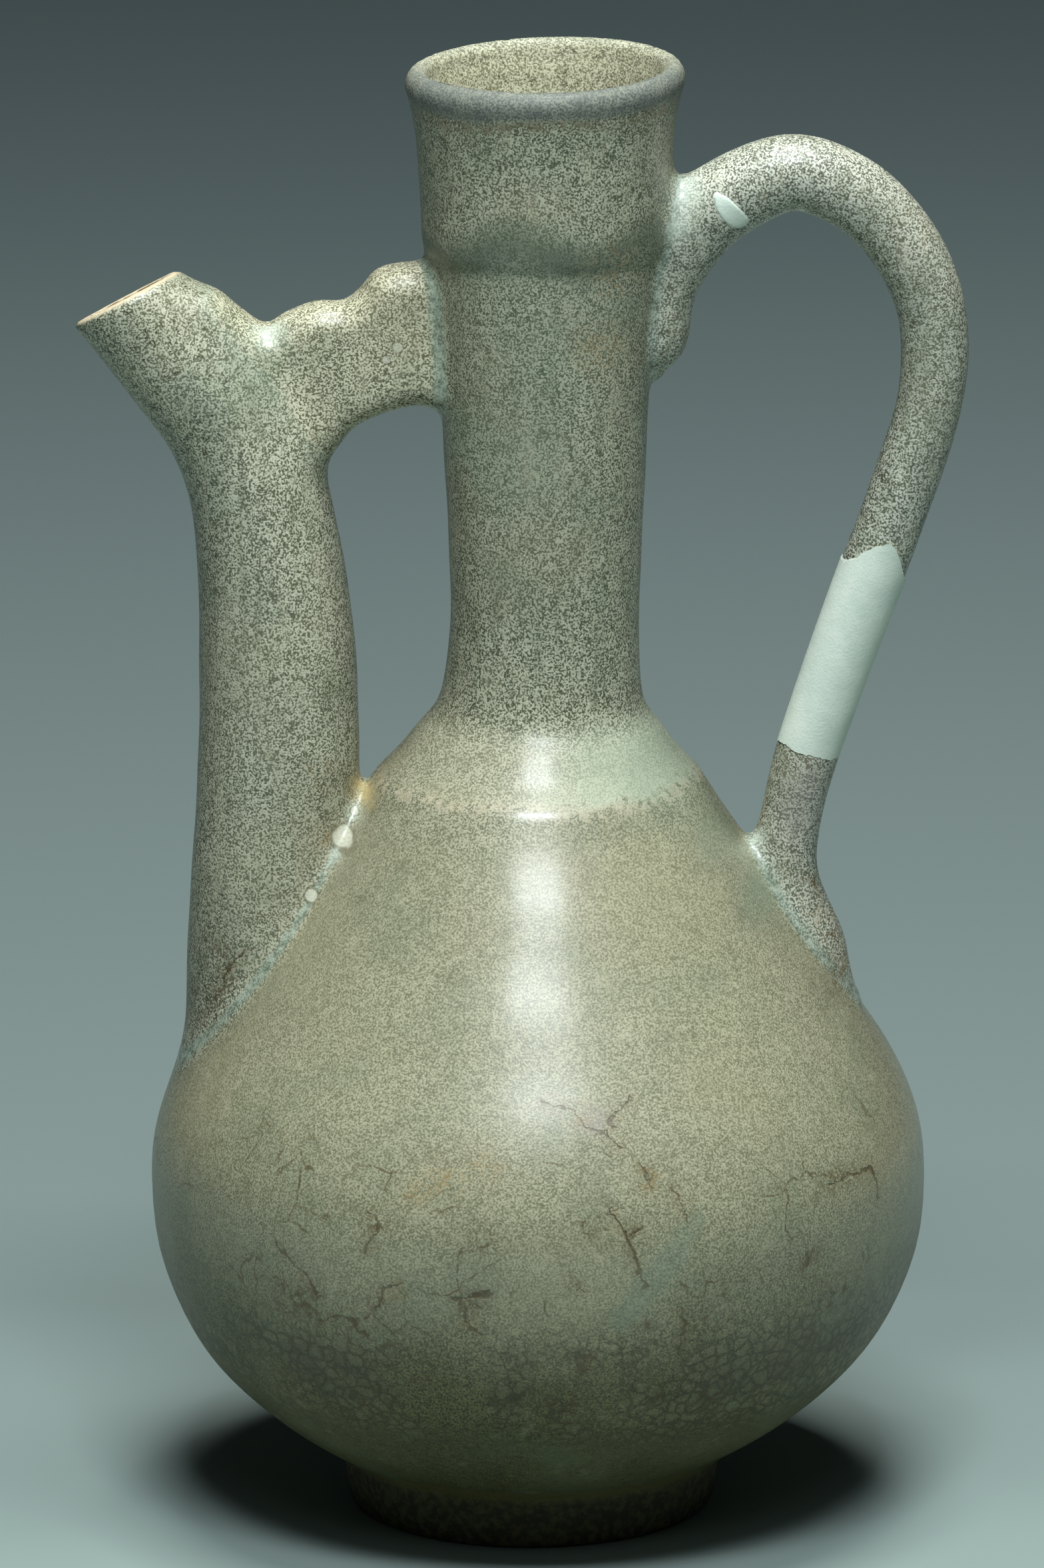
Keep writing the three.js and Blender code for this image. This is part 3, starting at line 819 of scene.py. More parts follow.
def tree_math(tree, operation, a, b=None, vector=False):
    """One math node of a geometry tree, on links or plain numbers."""
    node = tree.nodes.new("ShaderNodeVectorMath" if vector else "ShaderNodeMath")
    node.operation = operation
    second = "Scale" if operation == "SCALE" else 1
    for key, value in ((0, a), (second, b)):
        if isinstance(value, bpy.types.NodeSocket):
            tree.links.new(value, node.inputs[key])
        elif value is not None:
            node.inputs[key].default_value = value
    return node.outputs["Value"] if operation == "DOT_PRODUCT" else node.outputs[0]


bar_tree = bpy.data.node_groups.new("plaster_bar", "GeometryNodeTree")
bar_tree.interface.new_socket(name="Geometry", in_out="OUTPUT", socket_type="NodeSocketGeometry")
for name, kind, value in INPUTS:
    socket = bar_tree.interface.new_socket(name=name, in_out="INPUT", socket_type=kind)
    socket.default_value = value
print("the tree of the bar takes", [row[0] for row in INPUTS])

# %% [markdown]
# ## The tube of the bar
# The curve becomes a tube whose radius grows from the low end to the top. Each point of the tube
# keeps two facts of the curve: its share of the way, and the place on the curve that it came
# from. The next step needs both to know the ends and the way out.

# %% Make the tube
new = bar_tree.nodes.new
given = new("NodeGroupInput").outputs
path = new("GeometryNodeCurveQuadraticBezier")
path.inputs["Resolution"].default_value = STEPS
tube = new("GeometryNodeCurveToMesh")
tube.inputs["Fill Caps"].default_value = True
ring = new("GeometryNodeCurvePrimitiveCircle")
ring.inputs["Resolution"].default_value = TURNS
ring.inputs["Radius"].default_value = 1.0
share = new("GeometryNodeSplineParameter")
swell = new("ShaderNodeMapRange")
where = new("GeometryNodeInputPosition")


def carried(kind, name):
    """A node that writes a fact of the curve and one that reads it on the tube."""
    writer = new("GeometryNodeStoreNamedAttribute")
    reader = new("GeometryNodeInputNamedAttribute")
    for node in (writer, reader):
        node.data_type = kind
        node.inputs["Name"].default_value = name
    return writer, reader


keep_share, read_share = carried("FLOAT", "share")
keep_spine, read_spine = carried("FLOAT_VECTOR", "spine")
join(bar_tree, (given["Low end"], path.inputs["Start"]), (given["Middle"], path.inputs["Middle"]),
     (given["Top end"], path.inputs["End"]), (path.outputs[0], keep_share.inputs["Geometry"]),
     (share.outputs["Factor"], keep_share.inputs["Value"]),
     (share.outputs["Factor"], swell.inputs["Value"]),
     (given["Low radius"], swell.inputs["To Min"]), (given["Top radius"], swell.inputs["To Max"]),
     (keep_share.outputs[0], keep_spine.inputs["Geometry"]),
     (where.outputs[0], keep_spine.inputs["Value"]),
     (keep_spine.outputs[0], tube.inputs["Curve"]), (swell.outputs[0], tube.inputs["Scale"]),
     (ring.outputs[0], tube.inputs["Profile Curve"]))
print("tube of", TURNS, "sides and", STEPS, "steps")

# %% [markdown]
# ## Its uneven ends
# Near each end the points slide along the bar: a little by noise, and on the front of the upper
# end by the tongue. A high power of the share keeps the middle of the bar still.

# %% Tear the ends and coat the bar
grain = new("ShaderNodeTexNoise")
grain.inputs["Scale"].default_value = JAG_GRAIN
grain.inputs["Detail"].default_value = 3.0
move = new("GeometryNodeSetPosition")
real = new("GeometryNodeRealizeInstances")
coat = new("GeometryNodeSetMaterial")
out = new("NodeGroupOutput")
axis = tree_math(bar_tree, "SUBTRACT", given["Top end"], given["Low end"], True)
axis = tree_math(bar_tree, "NORMALIZE", axis, vector=True)
at_top = tree_math(bar_tree, "POWER", read_share.outputs[0], END_REACH)
from_top = tree_math(bar_tree, "SUBTRACT", 1.0, read_share.outputs[0])
at_low = tree_math(bar_tree, "POWER", from_top, END_REACH)
outward = tree_math(bar_tree, "SUBTRACT", where.outputs[0], read_spine.outputs[0], True)
outward = tree_math(bar_tree, "NORMALIZE", outward, vector=True)
forward = tree_math(bar_tree, "DOT_PRODUCT", outward, given["Tongue side"], True)
forward = tree_math(bar_tree, "MAXIMUM", forward, 0.0)
forward = tree_math(bar_tree, "POWER", forward, TONGUE_NARROWNESS)
jag = tree_math(bar_tree, "SUBTRACT", grain.outputs[0], 0.5)
jag = tree_math(bar_tree, "MULTIPLY", jag, JAG_GAIN)
jag = tree_math(bar_tree, "MULTIPLY", jag, given["Jag"])
tongue = tree_math(bar_tree, "MULTIPLY", forward, given["Tongue"])
top_move = tree_math(bar_tree, "ADD", jag, tongue)
length = tree_math(bar_tree, "ADD", tree_math(bar_tree, "MULTIPLY", top_move, at_top),
                   tree_math(bar_tree, "MULTIPLY", jag, at_low))
join(bar_tree, (where.outputs[0], grain.inputs["Vector"]),
     (tube.outputs[0], move.inputs["Geometry"]),
     (tree_math(bar_tree, "SCALE", axis, length, True), move.inputs["Offset"]),
     (move.outputs[0], real.inputs["Geometry"]), (real.outputs[0], coat.inputs["Geometry"]),
     (given["Material"], coat.inputs["Material"]), (coat.outputs[0], out.inputs["Geometry"]))
print("the tree of the bar has", len(bar_tree.nodes), "nodes")

# %% [markdown]
# ## The bar in its place
# A modifier's inputs are set by each socket's identifier, because names may repeat. They are set
# before the object is looked at for the first time. Then the result becomes a plain mesh.

# %% Sweep the bar
plaster = bpy.data.materials.new("plaster")


def framed(place):
    return ((place[0] + FOOT_X) * MM, 0.0, place[1] * MM)


infill = bpy.data.objects.new("plaster_bar", bpy.data.meshes.new("plaster_bar"))
bpy.context.scene.collection.objects.link(infill)
bar = infill.modifiers.new("bar", "NODES")
bar.node_group = bar_tree
sockets = {item.name: item.identifier for item in bar_tree.interface.items_tree
           if item.in_out == "INPUT"}
for name, value in (("Low end", framed(FILL_LOW)), ("Middle", framed(FILL_MIDDLE)),
                    ("Top end", framed(FILL_TOP)), ("Low radius", FILL_RADIUS_LOW * MM),
                    ("Top radius", FILL_RADIUS_TOP * MM), ("Tongue", FILL_TONGUE * MM),
                    ("Jag", FILL_JAG * MM), ("Tongue side", TONGUE_SIDE), ("Material", plaster)):
    bar[sockets[name]] = value
infill = finished(infill, "plaster_bar")
infill.data.shade_smooth()
print("plaster bar:", len(infill.data.polygons), "faces")

# %% [markdown]
# ## The plaster chip
# A small chip on the front of the handle, just past the saddle, is filled too. It is the
# handle's own skin, a little proud, inside an uneven outline, so it comes from the same field.

# %% Make the chip from the same field
CHIP_LOOP = [(32.6, 248.6), (34.7, 248.0), (37.2, 245.9), (39.3, 243.3), (38.4, 241.8),
             (36.6, 241.5), (34.5, 243.1), (33.0, 246.0)]
CHIP_PROUD, CHIP_DEEP, CHIP_BACK = 0.16, 1.2, -1.0
CHIP_SIDE_EDGE, CHIP_BACK_EDGE, CHIP_STEP = 0.5, 0.3, 0.4
CHIP_LOW, CHIP_HIGH = (29.0, -12.0, 237.0), (43.0, 2.0, 253.0)
chip_line = smooth_curve(CHIP_LOOP + CHIP_LOOP[:1], 4)[:-1]
chip_grid = PlaneGrid((28.0, 236.0), (44.0, 254.0))
chip_grid.keep("edge", closed_distance(chip_grid.points, chip_line))


def chip_field(x, y, z):
    body_at, _, _, handle_at = parts_of(x, y, z)
    skin = blend(body_at, handle_at, handle_fillet(z)) + waves(x, y, z)
    edge = chip_grid.read("edge", x, z) + 0.12 * np.sin(x * 5) * np.cos(z * 4)
    beyond = -carve(skin - CHIP_PROUD, -edge, CHIP_SIDE_EDGE)
    return carve(np.maximum(-(skin + CHIP_DEEP), y - CHIP_BACK), beyond, CHIP_BACK_EDGE)


chip_points, chip_quads = surface_nets(chip_field, CHIP_LOW, CHIP_HIGH, CHIP_STEP)
chip = add_mesh("plaster_chip", chip_points, chip_quads)
chip.data.materials.append(plaster)
print("plaster chip:", len(chip_quads), "quads")

# %% [markdown]
# ## Shader maths as expressions
# A material is a small calculation that runs for each point of the surface. Written as Python
# expressions it stays readable: a Wire stands for a value on its way, and + - * / add the
# nodes. Colours are mixed with Mix nodes.

# %% Colours and the wire
def srgb(red, green, blue):
    """A colour as an eye or a screen names it, 0 to 255, as light."""
    return tuple((c / 255 / 12.92 if c <= 10 else ((c / 255 + 0.055) / 1.055) ** 2.4)
                 for c in (red, green, blue)) + (1.0,)


class Wire:
    def __init__(self, bench, socket):
        self.bench = bench
        self.socket = socket

    def math(self, operation, *values):
        return self.bench.node("ShaderNodeMath", {"operation": operation}, dict(enumerate(values)))

    def __add__(self, other):
        return self.math("ADD", self, other)

    def __sub__(self, other):
        return self.math("SUBTRACT", self, other)

    def __rsub__(self, other):
        return self.math("SUBTRACT", other, self)

    def __mul__(self, other):
        return self.math("MULTIPLY", self, other)

    def __truediv__(self, other):
        return self.math("DIVIDE", self, other)

    def __pow__(self, other):
        return self.math("POWER", self, other)

    def __abs__(self):
        return self.math("ABSOLUTE", self)

    __radd__ = __add__
    __rmul__ = __mul__

    def least(self, other):
        return self.math("MINIMUM", self, other)

    def most(self, other):
        return self.math("MAXIMUM", self, other)

    def between(self, low, high, start=0.0, end=1.0):
        """A soft step: start below low, end above high."""
        return self.bench.node("ShaderNodeMapRange", {"interpolation_type": "SMOOTHSTEP"},
                               {"Value": self, "From Min": low, "From Max": high,
                                "To Min": start, "To Max": end})


print("a middle grey, 128 on a screen, as light:", round(srgb(128, 128, 128)[0], 3))

# %% [markdown]
# ## A workbench for one material
# Every node comes from one method that takes a node's type, its settings and the values or
# links of its sockets. The bench adds the few textures this pot needs: noise for grain and
# clouds, cells for crackle, and places pushed about by noise, so that no line stays straight.

# %% The workbench
class Bench:
    """The node tree of one material."""

    def __init__(self, material):
        material.use_nodes = True
        self.tree = material.node_tree
        self.tree.nodes.clear()
        self.place = self.node("ShaderNodeTexCoord", out="Object")

    def node(self, kind, settings=None, values=None, out=0):
        node = self.tree.nodes.new(kind)
        for key, setting in (settings or {}).items():
            setattr(node, key, setting)
        for key, value in (values or {}).items():
            if isinstance(value, Wire):
                self.tree.links.new(value.socket, node.inputs[key])
            else:
                node.inputs[key].default_value = value
        return Wire(self, node.outputs[out])

    def noise(self, scale, detail=2.0, roughness=0.5, at=None, colour=False):
        return self.node("ShaderNodeTexNoise", {}, {
            "Vector": at or self.place, "Scale": scale, "Detail": detail, "Roughness": roughness,
        }, "Color" if colour else 0)

    def cells(self, scale, feature="F1", at=None):
        return self.node("ShaderNodeTexVoronoi", {"feature": feature}, {
            "Vector": at or self.place, "Scale": scale})

    def axis(self, letter):
        """One of the three numbers of the place, in metres."""
        return self.node("ShaderNodeSeparateXYZ", {}, {0: self.place}, letter)

    def vector(self, operation, first, second, key=1):
        return self.node("ShaderNodeVectorMath", {"operation": operation}, {0: first, key: second})

    def fact(self, name):
        return self.node("ShaderNodeAttribute", {"attribute_name": name}, out="Fac")

    def mix(self, share, a, b):
        return self.node("ShaderNodeMix", {"data_type": "RGBA", "clamp_factor": True},
                         {0: share, 6: a, 7: b}, 2)

    def shaken(self, scale, amount):
        """Object coordinates pushed about by noise, so that no line stays straight."""
        push = self.vector("SUBTRACT", self.noise(scale, 3.0, colour=True), (0.5, 0.5, 0.5))
        return self.vector("ADD", self.place, self.vector("SCALE", push, amount, "Scale"))

    def bump(self, height, distance, strength=1.0, under=None, invert=False):
        """The surface's direction bent by a height, on top of another bump if one is given."""
        values = {"Strength": strength, "Distance": distance, "Height": height}
        if under:
            values["Normal"] = under
        return self.node("ShaderNodeBump", {"invert": invert}, values)

    def finish(self, **sockets):
        values = {key.replace("_", " "): value for key, value in sockets.items()}
        shader = self.node("ShaderNodeBsdfPrincipled", {}, values)
        end = self.tree.nodes.new("ShaderNodeOutputMaterial")
        self.tree.links.new(shader.socket, end.inputs["Surface"])


print("a bench offers", sorted(name for name in vars(Bench) if not name.startswith("_")))

# %% [markdown]
# ## The glaze: where a point is
# A glaze is not one colour but layers, laid here one over another as they formed. All of them
# ask the same few things first: how high a point is and how far to the side, on which part it
# lies, and what slow and fast noises say there. Heights and sides are in millimetres again. The
# calm part is the belly, whose grain is softer and warmer than on the neck, cup and coils.

# %% Ask where the point is
glaze = bpy.data.materials.new("celadon_glaze")
b = Bench(glaze)
up = b.axis("Z") * 1000.0
side = (b.axis("X") - FOOT_X * MM) * 1000.0
ahead = b.axis("Y").between(0.012, -0.012)
fine = b.noise(2700.0, 0.6, 0.6)
coarse = b.noise(620.0, 2.0, 0.6)
cloudy = b.noise(210.0, 3.0, 0.6)
drift = b.noise(60.0, 2.0, 0.5)
broad = b.noise(26.0, 3.0, 0.55)
squashed = b.vector("MULTIPLY", b.place, (1.0, 1.0, 0.16))
streak = b.noise(330.0, 3.0, 0.6, at=squashed)
on_handle, on_spout, on_bridge = b.fact("on_handle"), b.fact("on_spout"), b.fact("on_bridge")
off_coils = (1.0 - on_spout) * (1.0 - on_handle)
flank, rim, underside = b.fact("flank"), b.fact("rim"), b.fact("underside")
calm = up.between(150.0, 128.0) * off_coils
low_belly = (up + (broad - 0.5) * 26.0).between(72.0, 30.0) * (1.0 - on_spout * 0.5)
print("the glaze starts from", len(b.tree.nodes), "nodes")

# %% [markdown]
# ## The grains
# Seen close, the glaze is pale grains over a darker green-grey ground, two or three to the
# millimetre, because it went partly matt as it cooled. Ground and grains have a colour each on
# every part of the pot. Both are darker low on the belly, partly where the glaze is thick and
# partly as painted shade under the belly, and darker on surfaces facing left or right, as painted shade.

# %% Lay the grains on the ground
beads = b.cells(2600.0, at=b.shaken(1500.0, 0.0003)).between(0.68, 0.22)
grain = beads * 0.1 + fine + (coarse - 0.5) * 0.26
grain = grain.between(0.32, 0.76) * calm + grain.between(0.4, 0.66) * (1.0 - calm)
ground = b.mix(calm, srgb(86, 91, 69), srgb(118, 119, 92))
grains = b.mix(calm, srgb(194, 195, 170), srgb(176, 174, 145))
for zone, dark, light in (
        (on_handle, (92, 96, 80), (208, 211, 194)),
        (on_spout * 0.8, (98, 102, 80), (208, 208, 184)),
        (on_bridge * 0.8, (108, 108, 82), (224, 220, 190))):
    ground = b.mix(zone, ground, srgb(*dark))
    grains = b.mix(zone, grains, srgb(*light))
# Painted shade: the ground is darker on surfaces that face left or right, off the calm belly.
ground = b.mix(flank * (1.0 - calm) * 0.55, ground, srgb(56, 57, 40))
# Partly thick glaze, partly painted shade: ground and grains darken low on the belly.
ground = b.mix(low_belly, ground, srgb(56, 54, 28))
grains = b.mix(low_belly, grains, srgb(126, 122, 78))
colour = b.mix(grain, ground, grains)
# Painted shade: surfaces facing left or right are darkened, more so low on the belly.
colour = b.mix(flank * (0.18 + low_belly * 0.3), colour, srgb(54, 53, 30))
print("with grains:", len(b.tree.nodes), "nodes")

# %% [markdown]
# ## Runs, clouds and the shoulder
# Above the belly the glaze ran a little, so it has upright streaks. Slow clouds of warm and green
# keep any large area from being even. The cone of the shoulder is paler, most of all to the
# right, and its lower edge is a warm broken line.

# %% Add streaks, clouds and the pale shoulder
clouds = (
    (streak.between(0.5, 0.72) * (1.0 - calm) * 0.35, (104, 112, 84)),
    (streak.between(0.46, 0.3) * (1.0 - calm) * 0.25, (190, 186, 158)),
    (broad.between(0.45, 0.7) * 0.22, (166, 156, 124)),
    (drift.between(0.48, 0.72) * 0.26, (112, 124, 100)),
    (cloudy.between(0.55, 0.75) * 0.28, (96, 98, 72)),
    (cloudy.between(0.42, 0.26) * 0.22, (196, 192, 162)),
)
for cover, tone in clouds:
    colour = b.mix(cover, colour, srgb(*tone))
cone_at = up + (coarse - 0.5) * 4.0 + (drift - 0.5) * 4.0
cone = cone_at.between(137.8, 140.2) * up.between(154.0, 146.0) * off_coils
to_right = side.between(-5.0, 14.0)
cone_colour = b.mix(to_right, srgb(176, 172, 140), srgb(188, 199, 174))
colour = b.mix(cone * (0.12 + broad * 0.3 + to_right * 0.3), colour, cone_colour)
cone_edge = abs(cone_at - 138.6).between(1.6, 0.3) * off_coils
colour = b.mix(cone_edge * coarse.between(0.4, 0.6) * 0.45, colour, srgb(196, 184, 158))
print("with clouds:", len(b.tree.nodes), "nodes")

# %% [markdown]
# ## Pools and seams
# Where the glaze gathered it is thick, clear and green: in drops on the front, under the collar
# and in every corner where two parts meet. The dark band along the collar's step is partly that
# pool and partly painted shade below the step.

# %% Pool the glaze in the corners
pool = b.fact("green").between(0.05, 0.9) * (0.5 + coarse * 0.6)
seam = (b.fact("seam_spout") + b.fact("seam_bridge") + b.fact("seam_handle") * 0.8
        + b.fact("seam_saddle") * 0.5)
seam = (seam * (0.25 + broad * 0.7 + coarse * 0.6)).between(0.15, 0.95)
seam_colour = b.mix(coarse.between(0.4, 0.6), srgb(120, 142, 126), srgb(164, 182, 166))
collar_pool_and_shade = abs(b.fact("collar") + (drift - 0.5) * 8.0).between(6.0, 0.0)
collar_pool_and_shade = collar_pool_and_shade * 0.65 * (1.0 - on_handle) * (1.0 - on_bridge) * (0.5 + broad)
colour = b.mix(pool * (0.3 + calm * 0.15), colour, srgb(118, 138, 118))
# Partly pooled glaze, partly painted shade: a dark green band along the collar's step.
colour = b.mix(collar_pool_and_shade, colour, srgb(80, 93, 76))
colour = b.mix(seam * 0.65, colour, seam_colour)
print("with pools:", len(b.tree.nodes), "nodes")

# %% [markdown]
# ## Dark specks
# Undersides, the outer side of the spout and the cup below its lip are peppered with dark
# specks of about half a millimetre. Elsewhere there are only a few. The specks are the glaze's
# own; their extra cover on undersides and on surfaces facing left or right is painted shade.

# %% Pepper the undersides
dark_specks = (b.noise(2000.0, 2.0, 0.8) + (coarse - 0.5) * 0.4).between(0.41, 0.34)
# Real specks with painted shade: more dark specks where the coils face down and where surfaces face left
# or right.
under = ((on_handle + on_bridge) * (0.18 + underside * 0.8)
         + on_spout * (0.15 + side.between(-52.0, -60.0) * 0.6 + underside * 0.4)
         + flank * (1.0 - calm) * 0.2
         + rim.between(-24.0, -4.0) * 0.6)
speck_zone = (under + 0.14 - calm * 0.08) * (0.3 + drift * 1.3)
colour = b.mix(dark_specks * speck_zone, colour, srgb(54, 50, 34))
print("with specks:", len(b.tree.nodes), "nodes")

# %% [markdown]
# ## The crackle low on the belly
# Thick glaze cracks into a net as it cools, and tea-brown dirt fills the lines. Cells of two to
# three millimetres make the net, broken up by the slow noises. A dark cloudy band lies in it, and
# a green one below, just above the foot.

# %% Net, dark band and green band
net = b.cells(390.0, "DISTANCE_TO_EDGE", at=b.shaken(240.0, 0.0030))
net_zone = ((up + (drift - 0.5) * 14.0).between(57.0, 45.0) * up.between(24.0, 31.0)
            * (drift + (broad - 0.5) + side.between(-10.0, 40.0, 0.0, 0.14)).between(0.36, 0.6))
net_line = net.between(0.17, 0.0) * net_zone * (0.35 + coarse * 1.1)
net_heart = net.between(0.15, 0.45) * net_zone
colour = b.mix(net_line * 0.7, colour, srgb(44, 41, 20))
colour = b.mix(net_heart * 0.42, colour, srgb(136, 140, 108))
band_at = up + (drift - 0.5) * 16.0 + (coarse - 0.5) * 6.0
dark_band = (band_at.between(52.0, 44.0) * band_at.between(32.0, 42.0)
             * (broad + drift).between(0.8, 1.2))
colour = b.mix(dark_band * (0.2 + cloudy * 0.45), colour, srgb(56, 50, 26))
green_band = up.between(36.0, 27.0)
green_colour = b.mix(drift.between(0.4, 0.6), srgb(60, 61, 34), srgb(70, 79, 50))
colour = b.mix(green_band * 0.5, colour, green_colour)
colour = b.mix(green_band * dark_specks * 0.5, colour, srgb(44, 42, 24))
print("with crackle:", len(b.tree.nodes), "nodes")

# %% [markdown]
# ## Cracks
# Over the middle of the belly a few wide craze lines run through the calm glaze. The long cracks
# that were measured come from their attribute: the line is where the side changes from left to
# right, as long as a crack is near. A brown halo lies along them.

# %% Draw the cracks
craze = b.cells(105.0, "DISTANCE_TO_EDGE", at=b.shaken(120.0, 0.009))
craze_here = drift.between(0.52, 0.62) * up.between(104.0, 74.0) * up.between(34.0, 44.0)
craze_line = craze.between(0.04, 0.0) * craze_here
colour = b.mix(craze_line * coarse.between(0.3, 0.62) * 0.9, colour, srgb(88, 74, 40))
crack_near = b.fact("crack_near")
thread = abs(b.fact("crack_side") + (coarse - 0.5) * 1.8 + (b.noise(260.0, 1.0) - 0.5) * 2.6)
wide = 0.16 + b.noise(420.0, 1.0).between(0.4, 0.7) * 0.6
crack = (thread / wide).between(1.0, 0.3) * crack_near.between(1.7, 0.9) * (0.3 + drift * 0.9)
halo = crack_near.between(2.8, 0.3)
colour = b.mix(halo * (coarse.between(0.4, 0.6) * 0.34), colour, srgb(116, 98, 60))
colour = b.mix(crack * (0.55 + coarse * 0.7), colour, srgb(80, 66, 36))
print("with cracks:", len(b.tree.nodes), "nodes")

# %% [markdown]
# ## Stains, painted highlights and white spots
# A stain is a tangle of thin ridges inside a soft blot. Each white spot is a disc, worked out
# here from its place, because the vertices lie too far apart to hold a clean circle. The spots
# lie on the front, so the back doesn't get them.

# %% Stain and spot the front
ridge = abs(b.noise(230.0, 4.0, 0.6) - 0.5).between(0.03, 0.002)
ridge = ridge.most(abs(streak - 0.5).between(0.03, 0.0) * 0.6)
stains = (
    (b.fact("brown") * (ridge * 0.75 + coarse.between(0.46, 0.7) * 0.4), (84, 68, 34)),
    (b.fact("orange") * (ridge * 0.5 + coarse.between(0.44, 0.7) * 0.24), (158, 130, 80)),
    (b.fact("ochre") * (0.3 + coarse * 0.7), (206, 184, 122)),
    (b.fact("pink") * 0.4, (160, 150, 146)),
    # Painted highlights: the pale blots lighten the glaze where glints fall.
    (b.fact("pale") * 0.55, (206, 220, 206)),
)
for cover, tone in stains:
    colour = b.mix(cover, colour, srgb(*tone))
NO_SPOT = 9.0
spot = NO_SPOT
for across, height, size in SPOTS:
    right, above = side - across, up - height
    from_spot = (right * right + above * above) ** 0.5 / size
    spot = from_spot.least(spot)
spot = spot + (coarse - 0.5) * 0.5 + (fine - 0.5) * 0.3
colour = b.mix(spot.between(1.6, 1.15) * ahead * 0.5, colour, srgb(104, 98, 72))
colour = b.mix(spot.between(1.1, 0.8) * ahead * (0.5 + fine * 0.5), colour, srgb(220, 220, 198))
print("with stains and spots:", len(b.tree.nodes), "nodes")

# %% [markdown]
# ## Lip, mouth and foot
# On edges the glaze is thin. The lip shows a grey band in front and a brown line below it, the
# cup is sandy inside, the spout's mouth is bare pale clay, and the foot was wiped and is dark.

# %% Thin the glaze at the edges
rim_wild = rim + (drift - 0.5) * 4.0 + (coarse - 0.5) * 2.0
rim_band = rim_wild.between(-6.6, -4.4) * ahead
colour = b.mix(rim.between(-2.4, -0.6) * 0.25, colour, srgb(170, 172, 152))
colour = b.mix(rim_band * (0.5 + streak * 0.4), colour, srgb(90, 97, 96))
rim_brown = rim_wild.between(-8.4, -6.6) * rim_wild.between(-4.6, -6.2) * ahead
colour = b.mix(rim_brown * coarse.between(0.36, 0.6) * 0.6, colour, srgb(106, 92, 62))
in_cup = b.fact("inside") * up.between(200.0, 226.0)
cup_colour = b.mix(grain, srgb(140, 138, 108), srgb(206, 204, 174))
colour = b.mix(in_cup * 0.75, colour, cup_colour)
colour = b.mix(in_cup * dark_specks * 0.7, colour, srgb(52, 48, 38))
cut_edge = b.fact("mouth").between(-0.9, -0.25)
colour = b.mix(cut_edge * 0.85, colour, srgb(222, 206, 172))
colour = b.mix(cut_edge * b.fact("inside").between(0.3, 0.9), colour, srgb(96, 66, 40))
foot_line = abs(up + (drift - 0.5) * 2.0 - 11.0).between(2.2, 0.4)
colour = b.mix(foot_line * 0.4, colour, srgb(120, 108, 56))
foot = up.between(10.6, 8.4)
foot_colour = b.mix(coarse.between(0.4, 0.65), srgb(54, 51, 33), srgb(88, 80, 54))
colour = b.mix(foot * 0.9, colour, foot_colour)
print("with its edges:", len(b.tree.nodes), "nodes")

# %% [markdown]
# ## Gloss and relief
# The calm belly shines through a thin clear coat, the speckled rest much less, and the foot and
# the lip hardly. The grains stand a tenth of a millimetre proud, and cracks and net are cut in.

# %% Gloss, relief and the finished glaze
grain_bump = b.bump(fine, 0.00012, 0.5)
relief = b.bump(crack + net_line * 0.4, 0.0002, 0.6, under=grain_bump, invert=True)
rough = (0.44 + grain * 0.06 + low_belly * 0.14 + foot * 0.2 - pool * 0.06 - seam * 0.12
         + rim.between(-6.0, -2.0) * 0.2)
belly_shine = calm * (1.0 - low_belly) * (1.0 - flank * 0.6) * 0.7
shine = 0.2 + belly_shine - low_belly * 0.16 + seam * 0.2
shine = shine * (1.0 - foot * 0.8) * rim.between(-3.0, -6.0, 0.3, 1.0)
b.finish(Base_Color=colour, Roughness=rough, Normal=relief, IOR=1.45, Coat_Weight=shine,
         Coat_Roughness=0.22)
ewer.data.materials.clear()
ewer.data.materials.append(glaze)
print("glaze:", len(b.tree.nodes), "nodes")

# %% [markdown]
# ## Plaster
# The plaster is white with a green cast and matt, with faint clouds and a little dust in it.

# %% Mix the plaster
b = Bench(plaster)
cloud = b.noise(150.0, 4.0, 0.6)
dust = b.noise(2400.0, 2.0)
chalk = b.mix(cloud.between(0.3, 0.75), srgb(212, 226, 212), srgb(228, 238, 224))
chalk = b.mix(dust.between(0.62, 0.72) * 0.25, chalk, srgb(168, 176, 160))
b.finish(Base_Color=chalk, Roughness=0.75, Normal=b.bump(cloud + dust * 0.3, 0.0003, 0.5))
print("plaster:", len(b.tree.nodes), "nodes")

# %% [markdown]
# ## Floor
# The floor is one sheet of paper. Its colour is painted lightest in front of the pot and darker
# away from it: painted light falloff, as on a studio sweep.

# %% Lay the paper
FLOOR_HALF = 6.0
paper = bpy.data.materials.new("paper")
b = Bench(paper)
back = b.axis("Y")
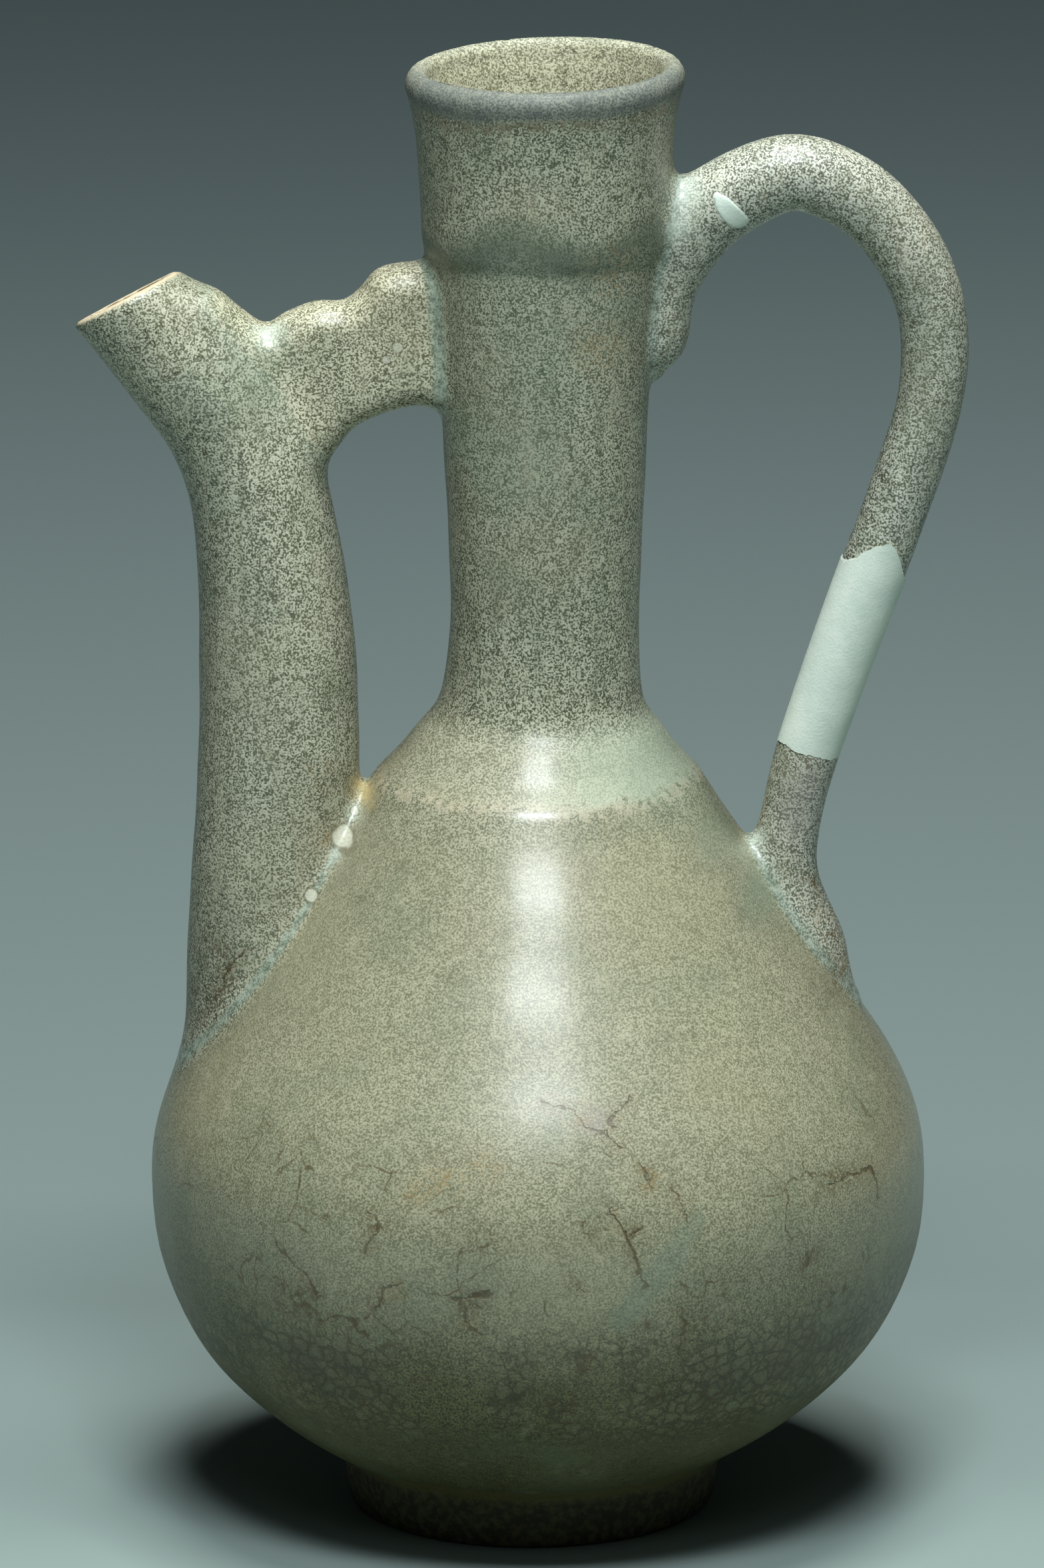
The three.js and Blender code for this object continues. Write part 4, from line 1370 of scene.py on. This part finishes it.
# Painted light falloff: the paper darkens from the front towards the back.
shade = b.mix(back.between(-0.05, 0.12), srgb(136, 153, 148), srgb(121, 137, 134))
shade = b.mix(back.between(0.25, 0.75), shade, srgb(119, 135, 134))
shade = b.mix(back.between(0.6, 1.5), shade, srgb(92, 108, 110))
b.finish(Base_Color=shade, Roughness=0.85)
floor = bpy.data.objects.new("floor", bpy.data.meshes.new("floor"))
floor.data.from_pydata([(-FLOOR_HALF, -FLOOR_HALF, 0), (FLOOR_HALF, -FLOOR_HALF, 0),
                        (FLOOR_HALF, FLOOR_HALF, 0), (-FLOOR_HALF, FLOOR_HALF, 0)], [], [(0, 1, 2, 3)])
floor.data.materials.append(paper)
bpy.context.scene.collection.objects.link(floor)
print("floor is", 2 * FLOOR_HALF, "m wide")

# %% [markdown]
# ## Light
# One soft box high in front makes the tall soft highlight on the belly. A weak one below it
# draws that highlight a little further down. A wide one overhead lights the arch and the paper
# and leaves the dark under the belly. The room itself is almost dark.

# %% Set the lights
TINT, TOP_TINT = (0.93, 1.0, 1.05), (0.98, 1.0, 0.98)
AIM, TOP_AIM = (0.0, 0.0, 0.12), (0.0, 0.0, 0.1)
ROOM_COLOUR, ROOM_STRENGTH = (0.55, 0.62, 0.66, 1.0), 0.038


def soft_box(name, place, aim, wide, high, power, tint):
    data = bpy.data.lights.new(name, "AREA")
    data.shape = "RECTANGLE"
    data.size, data.size_y = wide, high
    data.energy = power
    data.color = tint
    lamp = bpy.data.objects.new(name, data)
    bpy.context.scene.collection.objects.link(lamp)
    lamp.location = place
    away = [p - a for p, a in zip(place, aim)]
    flat = math.hypot(away[0], away[1])
    lamp.rotation_euler = (math.atan2(flat, away[2]), 0.0, math.atan2(away[0], -away[1]))


soft_box("front box", (0.015, -0.65, 1.2), AIM, 0.42, 0.25, 12.4, TINT)
soft_box("low front box", (0.03, -0.92, 0.97), AIM, 0.5, 0.26, 0.5, TINT)
soft_box("top box", (0.06, -0.08, 1.5), TOP_AIM, 0.5, 0.42, 18.8, TOP_TINT)
world = bpy.data.worlds.new("room")
bpy.context.scene.world = world
world.use_nodes = True
room = world.node_tree.nodes["Background"]
room.inputs["Color"].default_value = ROOM_COLOUR
room.inputs["Strength"].default_value = ROOM_STRENGTH
bpy.context.scene.view_settings.view_transform = "Standard"

# %% [markdown]
# ## Onto the frame
# Each piece rides on the one body and stands for its measured solid, which is hidden.

# %% Hang the pieces on the frame
for piece, node, slot in ((ewer, "ewer", "celadon_glaze"), (infill, "handle_plaster_infill", "plaster"),
                          (chip, "handle_plaster_chip", "plaster")):
    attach(piece, "root")
    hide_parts(node)
